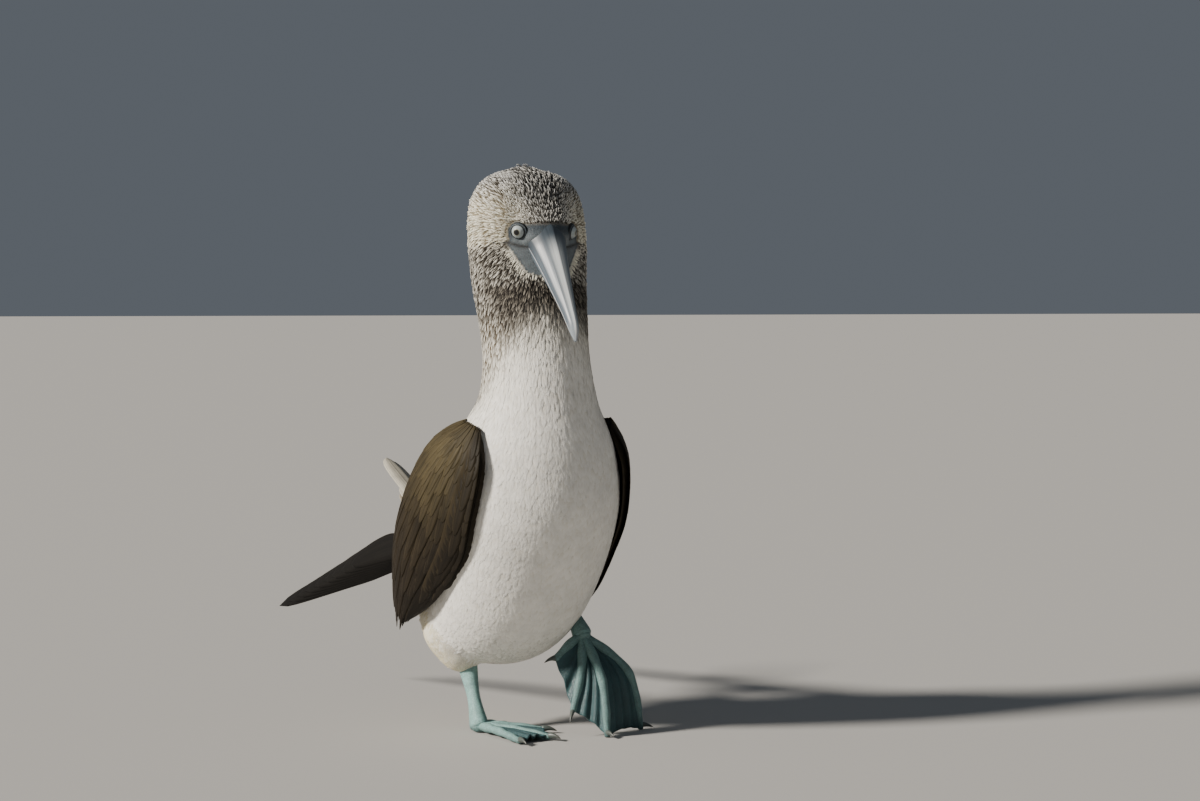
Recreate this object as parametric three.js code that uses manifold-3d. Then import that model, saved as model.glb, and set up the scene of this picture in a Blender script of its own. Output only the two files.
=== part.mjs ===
// A blue-footed booby, life size, walking: right foot flat, left foot trailing on its toe tips.
// Millimetres, +Z up, the bird faces -Y and its right side is -X.
import * as THREE from 'three';
import { mergeVertices } from 'three/addons/utils/BufferGeometryUtils.js';
import Module from 'manifold-3d';

const wasm = await Module();
wasm.setup();

// Driving dimensions
const gap = 0.3; // between touching pieces
const crownHeight = 443;
const headHalfWidth = 47.5;
const eyeHeight = 391;
const eyeForward = 27; // the eyes lie this far in front of the body's middle
const eyeApart = 44; // between the centres of the eyeballs
const eyeRadius = 6.6;
const billPitch = THREE.MathUtils.degToRad(55); // below the horizontal
const culmen = 100; // forehead feathers to bill tip
const tarsusLength = 47;
const toeLengths = { hallux: 24, inner: 52, middle: 70, outer: 70 };
const clawLength = 10;
const toeRadius = 3.4;
const webThickness = 1.5;
const neckBase = { y: -6, z: 268, tilt: 0.12 };
const headBase = { y: 0, z: 352, tilt: 0.3 };
const rightHeel = new THREE.Vector3(-26, 40, 0); // where the standing leg meets the ground
const leftToeJoint = new THREE.Vector3(50, 11, 76); // where the raised leg's toes begin

// The body's centre line from rump to crown, with half its width and half its depth
const bodyStations = [
  { y: 142, z: 124, wide: 0, deep: 0 },
  { y: 122, z: 116, wide: 32, deep: 20 },
  { y: 94, z: 106, wide: 50, deep: 38 },
  { y: 62, z: 102, wide: 62, deep: 55 },
  { y: 36, z: 122, wide: 68, deep: 62 },
  { y: 14, z: 160, wide: 73, deep: 66 },
  { y: 0, z: 196, wide: 73, deep: 68 },
  { y: -9, z: 230, wide: 64, deep: 59 },
  { y: -13, z: 262, wide: 48.5, deep: 47 },
  { y: -11, z: 292, wide: 43, deep: 43 },
  { y: -6, z: 322, wide: 43, deep: 41 },
  { y: 1, z: 352, wide: headHalfWidth - 2, deep: 37 },
  { y: 5, z: 384, wide: headHalfWidth, deep: 36 },
  { y: 8, z: 408, wide: headHalfWidth - 1.5, deep: 35.5 },
  { y: 10, z: 424, wide: 40.5, deep: 31 },
  { y: 11, z: 435, wide: 28, deep: 21 },
  { y: 11, z: crownHeight, wide: 0, deep: 0 },
];

// The face from inside the head to the bill's root: along the bill's axis, and up from it
const faceStations = [
  { along: -50, up: -6, wide: 0, deep: 0 },
  { along: -34, up: -7, wide: 27, deep: 23 },
  { along: -12, up: -4, wide: 27, deep: 19 },
  { along: 0, up: -3.5, wide: 22, deep: 16 },
  { along: 9, up: -4, wide: 17, deep: 13 },
  { along: 14, up: -4, wide: 0, deep: 0 },
];

const billStations = [
  { along: -16, up: -3, wide: 0, deep: 0 },
  { along: 0, up: -3, wide: 17.5, deep: 16 },
  { along: 16, up: -2.5, wide: 14, deep: 14.5 },
  { along: 34, up: -1.5, wide: 10.8, deep: 12 },
  { along: 54, up: -0.5, wide: 8, deep: 9 },
  { along: 72, up: 0, wide: 5.6, deep: 6.6 },
  { along: 90, up: -0.5, wide: 3.6, deep: 4.2 },
  { along: culmen, up: -3, wide: 0, deep: 0 },
];

const colours = {
  white: 0xf2efe6,
  streaked: 0xb9a27c,
  brown: 0x4a3b28,
  bill: 0x8b97a3,
  foot: 0x6fa9ad,
  eye: 0xe9e3bd,
};

// Solids from three.js geometry, and back

function closedGeometry(geometry) {
  const bare = geometry.clone();
  bare.deleteAttribute('normal');
  bare.deleteAttribute('uv');
  return mergeVertices(bare, 1e-3);
}

function mirrored(geometry) {
  const twin = geometry.clone().scale(-1, 1, 1);
  const index = twin.index.array;
  for (let i = 0; i < index.length; i += 3) {
    [index[i + 1], index[i + 2]] = [index[i + 2], index[i + 1]];
  }
  return twin;
}

// side is 1 for the bird's left and -1 for its right, where the shape is mirrored
function solidOf(geometry, side = 1) {
  const closed = side < 0 ? mirrored(closedGeometry(geometry)) : closedGeometry(geometry);
  const kept = [];
  const index = closed.index.array;
  for (let i = 0; i < index.length; i += 3) {
    const [a, b, c] = [index[i], index[i + 1], index[i + 2]];
    if (a !== b && b !== c && c !== a) kept.push(a, b, c);
  }
  return new wasm.Manifold(new wasm.Mesh({
    numProp: 3,
    vertProperties: new Float32Array(closed.attributes.position.array),
    triVerts: new Uint32Array(kept),
  }));
}

function joined(solids) {
  return solids.reduce((whole, next) => whole.add(next));
}

function largestOf(solid) {
  const parts = solid.decompose();
  return parts.reduce((best, part) => (part.volume() > best.volume() ? part : best));
}

function meshOf(name, solid, colour, roughness) {
  const { vertProperties, triVerts } = largestOf(solid).getMesh();
  const geometry = new THREE.BufferGeometry();
  geometry.setAttribute('position', new THREE.BufferAttribute(vertProperties, 3));
  geometry.setIndex(new THREE.BufferAttribute(triVerts, 1));
  geometry.computeVertexNormals();
  const material = new THREE.MeshStandardMaterial({ color: colour, roughness, metalness: 0 });
  const mesh = new THREE.Mesh(geometry, material);
  mesh.name = name;
  return mesh;
}

// The same closed surface, every point moved outward along its normal
function inflated(geometry, distance) {
  const closed = closedGeometry(geometry);
  closed.computeVertexNormals();
  const place = closed.attributes.position;
  const normal = closed.attributes.normal;
  for (let i = 0; i < place.count; i += 1) {
    place.setXYZ(
      i,
      place.getX(i) + distance * normal.getX(i),
      place.getY(i) + distance * normal.getY(i),
      place.getZ(i) + distance * normal.getZ(i),
    );
  }
  return closed;
}

// Shape makers

// A closed skin round a centre line: path(t) is its centre, size(t) gives its two half sizes,
// across(t) the direction of the first one. The sphere's poles become the two ends.
function skinAlong(path, size, across, sides, rings) {
  const geometry = new THREE.SphereGeometry(1, sides, rings);
  const place = geometry.attributes.position;
  for (let i = 0; i < place.count; i += 1) {
    const t = Math.acos(THREE.MathUtils.clamp(place.getY(i), -1, 1)) / Math.PI;
    const ring = Math.hypot(place.getX(i), place.getZ(i)) || 1;
    const centre = path.getPoint(t);
    const tangent = path.getTangent(t);
    const wide = across(t).clone();
    wide.addScaledVector(tangent, -wide.dot(tangent)).normalize();
    const deep = new THREE.Vector3().crossVectors(tangent, wide);
    const [halfWide, halfDeep] = size(t);
    centre.addScaledVector(wide, (halfWide * place.getX(i)) / ring);
    centre.addScaledVector(deep, (halfDeep * place.getZ(i)) / ring);
    place.setXYZ(i, centre.x, centre.y, centre.z);
  }
  return geometry;
}

const sideways = new THREE.Vector3(1, 0, 0);

// A body of stations: centre points with half widths and depths, smooth between them
function stationBody(stations, sides, rings) {
  const points = stations.map(({ x = 0, y, z }) => new THREE.Vector3(x, y, z));
  const sizes = stations.map(({ wide, deep }) => new THREE.Vector3(wide, deep, 0));
  const path = new THREE.CatmullRomCurve3(points, false, 'centripetal');
  const sizePath = new THREE.CatmullRomCurve3(sizes, false, 'catmullrom', 0.5);
  const last = stations.length - 1;
  const size = (t) => {
    const ends = Math.min(1, t * last * 2, (1 - t) * last * 2);
    const { x, y } = sizePath.getPoint(t);
    return ends < 1 ? [x * roundEnd(ends), y * roundEnd(ends)] : [x, y];
  };
  return skinAlong(path, size, () => sideways, sides, rings);
}

// Rounds off an end: 0 at the pole, 1 half a station further on, steep at first like a dome
function roundEnd(share) {
  return Math.sqrt(share * (2 - share)) / Math.max(share, 0.5);
}

// A tube with round ends through points, radius(t) along it
function limb(points, radius, sides, rings, flatness = 1, across = sideways) {
  const path = new THREE.CatmullRomCurve3(points, false, 'centripetal');
  const size = (t) => {
    const dome = Math.min(1, Math.sqrt(Math.sin(Math.PI * t)) * 1.6);
    return [radius(t) * dome, radius(t) * dome * flatness];
  };
  return skinAlong(path, size, () => across, sides, rings);
}

// A thin plate: place(u, v) is its middle surface, u across and v along, both 0 to 1.
// The two faces are split into triangles alike.
function plate(across, along, place, thickness) {
  const grid = new THREE.PlaneGeometry(1, 1, across, along);
  const uv = grid.attributes.uv;
  const count = uv.count;
  const positions = [];
  const step = 1e-3;
  for (const face of [1, -1]) {
    for (let i = 0; i < count; i += 1) {
      const u = uv.getX(i);
      const v = uv.getY(i);
      const centre = place(u, v);
      const du = place(Math.min(u + step, 1), v).sub(place(Math.max(u - step, 0), v));
      const dv = place(u, Math.min(v + step, 1)).sub(place(u, Math.max(v - step, 0)));
      const normal = du.cross(dv).normalize();
      centre.addScaledVector(normal, (face * thickness(u, v)) / 2);
      positions.push(centre.x, centre.y, centre.z);
    }
  }
  const top = [...grid.index.array];
  const faces = [...top];
  for (let i = 0; i < top.length; i += 3) {
    faces.push(top[i] + count, top[i + 2] + count, top[i + 1] + count);
  }
  const rim = rimOf(across, along);
  for (let i = 0; i < rim.length; i += 1) {
    const a = rim[i];
    const b = rim[(i + 1) % rim.length];
    faces.push(a, a + count, b, b, a + count, b + count);
  }
  const geometry = new THREE.BufferGeometry();
  geometry.setAttribute('position', new THREE.Float32BufferAttribute(positions, 3));
  geometry.setIndex(faces);
  return geometry;
}

// The indices round a grid's edge, anticlockwise as seen from its top face
function rimOf(across, along) {
  const row = across + 1;
  const rim = [];
  for (let j = 0; j < along; j += 1) rim.push(j * row);
  for (let i = 0; i < across; i += 1) rim.push(along * row + i);
  for (let j = along; j > 0; j -= 1) rim.push(j * row + across);
  for (let i = across; i > 0; i -= 1) rim.push(i);
  return rim;
}

// A box whose face lies on a plane, all of it on the side that the normal points to
function halfSpace(point, normal) {
  const size = 900;
  const box = new THREE.BoxGeometry(size, size, size).translate(0, 0, size / 2);
  const turn = new THREE.Quaternion().setFromUnitVectors(new THREE.Vector3(0, 0, 1), normal);
  return solidOf(box.applyQuaternion(turn).translate(point.x, point.y, point.z));
}

// The part of a solid between two parallel offsets of a plane is taken out
function parted(solid, point, normal) {
  const shift = normal.clone().multiplyScalar(gap / 2);
  const above = solid.intersect(halfSpace(point.clone().add(shift), normal));
  const back = normal.clone().negate();
  const below = solid.intersect(halfSpace(point.clone().sub(shift), back));
  return [below, above];
}

// Head, neck and torso: one skin, parted at the neck's two ends

const faceOrigin = new THREE.Vector3(0, -eyeForward, eyeHeight);
const billAxis = new THREE.Vector3(0, -Math.cos(billPitch), -Math.sin(billPitch));
const billUp = new THREE.Vector3(0, -Math.sin(billPitch), Math.cos(billPitch));

function faceBody(stations, sides, rings) {
  const placed = stations.map(({ along, up, wide, deep }) => {
    const { y, z } = faceOrigin.clone().addScaledVector(billAxis, along).addScaledVector(billUp, up);
    return { y, z, wide, deep };
  });
  return stationBody(placed, sides, rings);
}

const bodySkin = stationBody(bodyStations, 26, 30);
const faceSkin = faceBody(faceStations, 18, 12);
const bodyClear = solidOf(inflated(bodySkin, gap));

const eyeAxis = new THREE.Vector3(0.8, -0.55, -0.22).normalize();
const eyeCentre = new THREE.Vector3(eyeApart / 2 - 1.5, -eyeForward + 2, eyeHeight + 1);

function ball(radius, centre, sides = 12, rings = 8) {
  return new THREE.SphereGeometry(radius, sides, rings).translate(centre.x, centre.y, centre.z);
}

// A ring of lids round the eyeball's front, its upper edge the heavier
function lidRing() {
  const ring = new THREE.TorusGeometry(eyeRadius * 0.9, 1.9, 5, 12);
  const turn = new THREE.Quaternion().setFromUnitVectors(new THREE.Vector3(0, 0, 1), eyeAxis);
  const seat = eyeCentre.clone().addScaledVector(eyeAxis, eyeRadius * 0.42);
  return ring.applyQuaternion(turn).translate(seat.x, seat.y, seat.z);
}

const mouthTilt = 0.035; // the mouth line rises towards the bill's tip
const mouthNormal = billUp.clone().addScaledVector(billAxis, -mouthTilt).normalize();
const mouthPoint = faceOrigin.clone().addScaledVector(billUp, -5);

// The mouth line goes on from the bill over the face, a groove to below the eye
function mouthGroove() {
  const depth = 1.5;
  const length = 42;
  const slot = new THREE.BoxGeometry(90, length, 0.9).translate(0, length / 2 - 12, 0);
  const basis = new THREE.Matrix4().makeBasis(sideways, billAxis, mouthNormal.clone().negate());
  slot.applyMatrix4(basis).translate(mouthPoint.x, mouthPoint.y, mouthPoint.z);
  return solidOf(slot)
    .subtract(solidOf(inflated(faceSkin, -depth)))
    .subtract(solidOf(inflated(bodySkin, -depth)));
}

function makeHeadNeckTorso() {
  const up = ({ tilt }) => new THREE.Vector3(0, -Math.sin(tilt), Math.cos(tilt));
  const at = ({ y, z }) => new THREE.Vector3(0, y, z);
  const [torso, above] = parted(solidOf(bodySkin), at(neckBase), up(neckBase));
  const [neck, cap] = parted(above, at(headBase), up(headBase));
  let head = cap.add(solidOf(faceSkin).intersect(halfSpace(at(headBase), up(headBase))));
  for (const side of [1, -1]) head = head.add(solidOf(lidRing(), side));
  for (const side of [1, -1]) head = head.subtract(solidOf(ball(eyeRadius + gap, eyeCentre), side));
  return { torso, neck, head: head.subtract(mouthGroove()) };
}

function makeBill() {
  const clear = solidOf(inflated(faceSkin, gap)).add(bodyClear);
  const bill = solidOf(faceBody(billStations, 18, 16)).subtract(clear);
  const [lower, upper] = parted(bill, mouthPoint, mouthNormal);
  return { lower, upper };
}

// Feathers

// Even draws between -1 and 1, the same each time for a seed
function drawsFrom(seed) {
  let state = seed;
  return () => {
    state = (state * 1664525 + 1013904223) % 4294967296;
    return state / 2147483648 - 1;
  };
}

// A feather's width along it: narrow at the root, full in the middle, then to its tip's share
function featherWidth(v, tipShare) {
  const shoulder = 0.66;
  const swell = 0.55 + 0.45 * Math.min(1, 3 * v);
  return v > shoulder ? swell * (1 - (1 - tipShare) * ((v - shoulder) / (1 - shoulder))) : swell;
}

// One feather's vane: line(v) is its shaft, across(v) its width's direction, up(v) its upper
// side's. roll lifts one edge above the other, so that neighbours lie like shingles.
function feather({ line, across, up, width, roll, along, tipShare }) {
  return plate(1, along, (u, v) => {
    const half = (u - 0.5) * width * featherWidth(v, tipShare);
    const point = line(v).addScaledVector(across(v), half);
    return point.addScaledVector(up(v), (u - 0.5) * roll * Math.min(1, 2 * v));
  }, (u, v) => 0.95 - 0.35 * v);
}

// Wings. The sheet of a folded wing runs between its front edge, its bulge and its back edge,
// from the wrist (s = 0) to the rear tips (s = 1); q goes from the front edge to the back edge.

const wingCurves = [
  [[55, -30, 238], [60, -42, 212], [64, -32, 173], [63, -12, 141], [67, 24, 110], [71, 60, 92], [72, 78, 84]],
  [[60, -12, 244], [74, 18, 224], [83, 44, 190], [85, 64, 155], [81, 80, 118], [76, 90, 86]],
  [[42, 16, 246], [34, 50, 232], [27, 71, 212], [25, 83, 188], [28, 98, 167], [38, 114, 152], [52, 126, 139]],
].map((points) => new THREE.CatmullRomCurve3(points.map((p) => new THREE.Vector3(...p))));

function wingSheet(s, q) {
  const inside = Math.min(s, 1);
  const blend = [2 * (q - 0.5) * (q - 1), 4 * q * (1 - q), 2 * q * (q - 0.5)];
  const point = new THREE.Vector3();
  wingCurves.forEach((curve, i) => {
    point.addScaledVector(curve.getPointAt(inside), blend[i]);
    const beyond = (s - inside) * curve.getLength();
    point.addScaledVector(curve.getTangentAt(1), blend[i] * beyond);
  });
  return point;
}

const step = 0.01;
const wingAcross = (s, q) => wingSheet(s, q + step).sub(wingSheet(s, q - step)).normalize();
const wingAlong = (s, q) => wingSheet(s + step, q).sub(wingSheet(s - step, q)).normalize();
const wingOut = (s, q) => wingAlong(s, q).cross(wingAcross(s, q));
const coreEnd = 0.9; // the wing's core stops here, and only feathers go on
const coreThick = (s) => 3 + 8 * Math.sqrt(Math.max(0, 1 - s / coreEnd));

// Rows of feathers over the wing, each row's tips over the next row's roots
const wingRows = [
  { count: 5, from: 0.03, to: 0.22, tipShare: 0.5 },
  { count: 6, from: 0.14, to: 0.36, tipShare: 0.5 },
  { count: 7, from: 0.27, to: 0.54, tipShare: 0.45 },
  { count: 8, from: 0.42, to: 0.74, tipShare: 0.4 },
  { count: 9, from: 0.56, to: 1.04, tipShare: 0.3 },
];
const rowRise = 6; // a feather's tip stands this far above its root's level
const rootSunk = 2.2;

function wingRow({ count, from, to, tipShare }, draw) {
  const span = 158; // from edge to edge over the bulge
  return Array.from({ length: count }, (_, i) => {
    const q = (i + 0.5) / count + 0.012 * draw();
    const reach = (to - from) * (1 + 0.05 * draw());
    const at = (v) => [from + reach * v, q];
    return feather({
      line: (v) => wingSheet(...at(v)).addScaledVector(
        wingOut(...at(v)),
        coreThick(from + reach * v) / 2 - rootSunk + rowRise * v,
      ),
      across: (v) => wingAcross(...at(v)),
      up: (v) => wingOut(...at(v)),
      width: (1.3 * span) / count,
      roll: 3,
      along: 2,
      tipShare,
    });
  });
}

const primaryRoot = new THREE.Vector3(74, 44, 143);
const primaryTip = new THREE.Vector3(79, 350, 71);
const primaryCount = 6;

// The long primaries, stacked: each one up and in is shorter and lies further out
function wingPrimaries(draw) {
  return Array.from({ length: primaryCount }, (_, i) => {
    const shift = new THREE.Vector3(1.5 * i, 0, 1.5 * i);
    const root = primaryRoot.clone().add(shift);
    const tip = root.clone().lerp(primaryTip.clone().add(shift), 1 - 0.1 * i + 0.012 * draw());
    const arch = 3;
    return feather({
      line: (v) => root.clone().lerp(tip, v).add(new THREE.Vector3(0, 0, arch * 4 * v * (1 - v))),
      across: () => new THREE.Vector3(0, 0.25, 0.97),
      up: () => new THREE.Vector3(1, 0, 0),
      width: 27,
      roll: -1,
      along: 5,
      tipShare: 0.1,
    });
  });
}

function makeWing(side, seed) {
  const draw = drawsFrom(seed);
  const core = plate(6, 7, (u, v) => wingSheet((1 - v) * coreEnd, u), (u, v) => coreThick((1 - v) * coreEnd));
  const vanes = [...wingRows.flatMap((row) => wingRow(row, draw)), ...wingPrimaries(draw)];
  return joined([core, ...vanes].map((piece) => solidOf(piece, side))).subtract(bodyClear);
}

// Tail: a wedge of pointed feathers cocked up between the wings, the middle pair longest

const tailRoot = new THREE.Vector3(0, 106, 119);
const tailTip = new THREE.Vector3(0, 295, 200);
const tailPairs = 6;

const tailCore = stationBody([
  { y: 96, z: 112, wide: 0, deep: 0 },
  { y: 112, z: 119, wide: 23, deep: 15 },
  { y: 140, z: 132, wide: 25, deep: 10 },
  { y: 172, z: 146, wide: 23, deep: 5 },
  { y: 192, z: 155, wide: 0, deep: 0 },
], 16, 10);

function makeTail() {
  const draw = drawsFrom(11);
  const axis = tailTip.clone().sub(tailRoot);
  const along = axis.clone().normalize();
  const above = new THREE.Vector3().crossVectors(sideways, along);
  const vanes = [];
  for (let i = 0; i < tailPairs; i += 1) {
    for (const side of [1, -1]) {
      const root = tailRoot.clone().addScaledVector(above, 1.5 - 1.5 * i - 0.35 * side);
      root.addScaledVector(sideways, 1 + 1.6 * i);
      const fan = THREE.MathUtils.degToRad(0.15 + 0.9 * i);
      const way = along.clone().multiplyScalar(Math.cos(fan)).addScaledVector(sideways, Math.sin(fan));
      const share = i === 0 ? 1 : 0.82 - 0.06 * i;
      const length = axis.length() * (share + 0.012 * draw());
      const vane = feather({
        line: (v) => root.clone().addScaledVector(way, length * v),
        across: () => sideways,
        up: () => above,
        width: 21 - i,
        roll: -0.7,
        along: 4,
        tipShare: 0.12,
      });
      vanes.push(solidOf(vane, side));
    }
  }
  return joined([solidOf(tailCore), ...vanes]).subtract(bodyClear);
}

// Legs and feet

function thighOf(stations) {
  return stationBody(stations, 16, 12);
}

const rightThigh = thighOf([
  { x: -30, y: 66, z: 122, wide: 0, deep: 0 },
  { x: -33, y: 66, z: 100, wide: 28, deep: 32 },
  { x: -34, y: 65, z: 78, wide: 29, deep: 31 },
  { x: -31, y: 63, z: 59, wide: 20, deep: 22 },
  { x: -28, y: 61, z: 48, wide: 11, deep: 12 },
  { x: -27, y: 60, z: 42, wide: 0, deep: 0 },
]);

const leftThigh = thighOf([
  { x: 42, y: 52, z: 130, wide: 0, deep: 0 },
  { x: 43, y: 45, z: 114, wide: 20, deep: 22 },
  { x: 45, y: 36, z: 100, wide: 18, deep: 19 },
  { x: 46, y: 28, z: 90, wide: 13, deep: 13 },
  { x: 47, y: 23, z: 82, wide: 0, deep: 0 },
]);

const toeNames = ['hallux', 'inner', 'middle', 'outer'];

// One foot: joint is where the toes meet, tips their four ends, clawWay the claws' direction
function footOf(joint, tips, clawWay, arches) {
  const pieces = [];
  const lines = toeNames.map((name) => {
    const tip = tips[name];
    const knuckle = joint.clone().lerp(tip, 0.5).add(arches[name]);
    return new THREE.CatmullRomCurve3([joint.clone(), knuckle, tip.clone()]);
  });
  lines.forEach((line, i) => {
    const bulge = (t) => toeRadius * (1.15 - 0.35 * t + 0.07 * Math.sin(t * Math.PI * 6));
    pieces.push(solidOf(limb(line.getPoints(6), bulge, 6, 5)));
    const tip = line.getPoint(1);
    tip.setZ(Math.max(tip.z, 2.3));
    const way = clawWay(tip.clone().sub(joint).normalize(), toeNames[i]);
    const claw = [-3, 2, 6, clawLength].map((reach, j) => (
      tip.clone().addScaledVector(way, reach).add(new THREE.Vector3(0, 0, [0.6, 1.2, 0.7, -0.6][j]))
    ));
    pieces.push(solidOf(limb(claw, (t) => 2.4 * (1 - t) + 0.5, 5, 4)));
  });
  for (let i = 0; i < 3; i += 1) {
    const scallop = 0.14;
    const web = plate(2, 3, (u, v) => {
      const reach = 0.97 * v * (1 - scallop * 4 * u * (1 - u));
      const point = lines[i].getPoint(reach).lerp(lines[i + 1].getPoint(reach), u);
      return point.add(new THREE.Vector3(0, 0, -1 * Math.sin(Math.PI * u)));
    }, () => webThickness);
    pieces.push(solidOf(web));
  }
  return pieces;
}

function shankOf(joint, ankle) {
  const radius = (t) => 6.1 + 1.3 * Math.cos(2 * Math.PI * t);
  return limb([joint, joint.clone().lerp(ankle, 0.5), ankle], radius, 10, 8, 1.25);
}

const groundBelow = halfSpace(new THREE.Vector3(0, 0, 0), new THREE.Vector3(0, 0, -1));

function makeLeg({ joint, ankle, tips, clawWay, arches, thighSkin }) {
  const pad = ball(6.6, joint, 12, 8);
  const whole = joined([solidOf(shankOf(joint, ankle)), solidOf(pad), ...footOf(joint, tips, clawWay, arches)]);
  const axis = ankle.clone().sub(joint).normalize();
  const [foot, shank] = parted(whole.subtract(groundBelow), joint.clone().addScaledVector(axis, 7), axis);
  const clear = bodyClear.add(solidOf(inflated(thighSkin, gap)));
  return {
    foot: foot.subtract(clear),
    shank: shank.subtract(clear),
    thigh: solidOf(thighSkin).subtract(bodyClear),
  };
}

function makeRightLeg() {
  const joint = rightHeel.clone().add(new THREE.Vector3(0, 0, 5.2));
  const ankle = joint.clone().add(new THREE.Vector3(0, 21, tarsusLength * 0.9));
  const toedIn = THREE.MathUtils.degToRad(28);
  const spread = { hallux: 78, inner: 29, middle: 0, outer: -25 };
  const tips = {};
  const arches = {};
  for (const name of toeNames) {
    arches[name] = new THREE.Vector3(0, 0, 1.2);
    const angle = toedIn + THREE.MathUtils.degToRad(spread[name]);
    const way = new THREE.Vector3(Math.sin(angle), -Math.cos(angle), 0);
    tips[name] = joint.clone().addScaledVector(way, toeLengths[name]).setZ(2.3);
  }
  const clawWay = (way) => way.setZ(0).normalize();
  return makeLeg({ joint, ankle, tips, clawWay, arches, thighSkin: rightThigh });
}

function makeLeftLeg() {
  const ankle = new THREE.Vector3(45, 42, 112);
  const tips = {
    hallux: new THREE.Vector3(24, 7, 58),
    inner: new THREE.Vector3(32, -9, 18),
    middle: new THREE.Vector3(53, -28, -0.8),
    outer: new THREE.Vector3(94, -5, -0.8),
  };
  const clawWay = (way, name) => {
    const down = { hallux: 0.1, inner: 0.8, middle: 0, outer: 0 }[name];
    return way.setZ(0).normalize().setZ(-down).normalize();
  };
  const arches = {
    hallux: new THREE.Vector3(0, -1, 2),
    inner: new THREE.Vector3(1, -5, 3),
    middle: new THREE.Vector3(3, -7, 5),
    outer: new THREE.Vector3(10, -9, 9),
  };
  return makeLeg({ joint: leftToeJoint, ankle, tips, clawWay, arches, thighSkin: leftThigh });
}

// The bird, its origin under the standing foot's heel

const bird = new THREE.Group();
bird.position.set(-rightHeel.x, -rightHeel.y, 0);

const { torso, neck, head } = makeHeadNeckTorso();
bird.add(meshOf('torso', torso, colours.white, 0.9));
bird.add(meshOf('neck', neck, colours.streaked, 0.9));
bird.add(meshOf('head', head, colours.streaked, 0.9));

const { lower, upper } = makeBill();
bird.add(meshOf('bill_upper', upper, colours.bill, 0.4));
bird.add(meshOf('bill_lower', lower, colours.bill, 0.4));

for (const [end, side] of [['left', 1], ['right', -1]]) {
  bird.add(meshOf(`eye_${end}`, solidOf(ball(eyeRadius, eyeCentre), side), colours.eye, 0.1));
  bird.add(meshOf(`wing_${end}`, makeWing(side, side > 0 ? 5 : 7), colours.brown, 0.8));
}
bird.add(meshOf('tail', makeTail(), colours.brown, 0.8));

for (const [end, leg] of [['right', makeRightLeg()], ['left', makeLeftLeg()]]) {
  bird.add(meshOf(`thigh_${end}`, leg.thigh, colours.white, 0.9));
  bird.add(meshOf(`shank_${end}`, leg.shank, colours.foot, 0.5));
  bird.add(meshOf(`foot_${end}`, leg.foot, colours.foot, 0.5));
}

const model = new THREE.Group();
model.add(bird);

export default model;
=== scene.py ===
import math

import bmesh
import bpy
import numpy as np
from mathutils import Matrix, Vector


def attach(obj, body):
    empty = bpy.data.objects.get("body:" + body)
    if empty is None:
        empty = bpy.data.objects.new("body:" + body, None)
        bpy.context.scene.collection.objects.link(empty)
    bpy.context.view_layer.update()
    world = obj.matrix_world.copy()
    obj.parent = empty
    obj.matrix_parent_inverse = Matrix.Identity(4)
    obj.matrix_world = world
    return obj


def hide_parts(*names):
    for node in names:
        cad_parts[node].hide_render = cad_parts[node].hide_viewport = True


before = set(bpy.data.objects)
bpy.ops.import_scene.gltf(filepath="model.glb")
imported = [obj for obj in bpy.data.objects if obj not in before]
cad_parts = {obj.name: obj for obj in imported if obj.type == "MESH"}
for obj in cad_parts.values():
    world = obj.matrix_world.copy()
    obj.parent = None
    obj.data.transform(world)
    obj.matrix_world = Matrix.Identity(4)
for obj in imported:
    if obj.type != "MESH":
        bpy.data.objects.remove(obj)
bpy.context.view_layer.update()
draws = np.random.default_rng(11)

standShift = np.array([26.0, -40.0, 0.0])  # from the bird's frame to the part's, in mm
crownHeight = 443
culmen = 100
eyeRadius = 6.6
sideways = np.array([1.0, 0.0, 0.0])
halves = {"left": 1, "right": -1}  # the bird's own left is at x > 0


# Numbers and places

def unit(vectors):
    # v / |v| for each row
    return vectors / np.maximum(np.linalg.norm(vectors, axis=-1, keepdims=True), 1e-9)


def rise(x, low, high):
    # 0 below low, 1 above high, 3 t^2 - 2 t^3 between
    t = np.clip((x - low) / (high - low), 0, 1)
    return t * t * (3 - 2 * t)


def mix(a, b, share):
    # a (1 - share) + b share
    return a + (b - a) * np.asarray(share)[..., None]


def linear(hexColour):
    # an sRGB hex colour as linear red, green and blue
    value = np.array([(hexColour >> shift) & 255 for shift in (16, 8, 0)]) / 255
    return np.where(value <= 0.04045, value / 12.92, ((value + 0.055) / 1.055) ** 2.4)


def tintTable(**colours):
    # linear colours by name, from sRGB hex ones
    return {name: linear(value) for name, value in colours.items()}


def layered(tints, first, **shares):
    # the first tint, with each other named one mixed over it in turn by its share
    colour = tints[first]
    for name, share in shares.items():
        colour = mix(colour, tints[name], share)
    return colour


def plainTint(tint, grid):
    # the same colour for every point of a grid
    return np.tile(tint, (grid.size // 3, 1))


def through(knots, t):
    # Catmull-Rom: the cubic that runs through the rows of knots as t goes from 0 to 1
    knots = np.asarray(knots, float)
    last = len(knots) - 1
    spot = np.clip(t, 0, 1) * last
    i = np.minimum(spot.astype(int), last - 1)
    f = (spot - i)[..., None]
    a, b, c, d = (knots[np.clip(i + k, 0, last)] for k in (-1, 0, 1, 2))
    return b + 0.5 * f * (c - a + f * (2 * a - 5 * b + 4 * c - d + f * (3 * (b - c) + d - a)))


# Meshes

def shares(rows, cols):
    # v and u of a grid, both from 0 to 1
    return np.meshgrid(np.linspace(0, 1, rows), np.linspace(0, 1, cols), indexing="ij")


def gridFaces(rows, cols, count=1):
    # the quads of count grids of rows x cols points that follow one another
    index = np.arange(rows * cols).reshape(rows, cols)
    quads = np.stack([index[:-1, :-1], index[:-1, 1:], index[1:, 1:], index[1:, :-1]], -1)
    return (quads.reshape(1, -1, 4) + rows * cols * np.arange(count)[:, None, None]).reshape(-1, 4)


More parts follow.
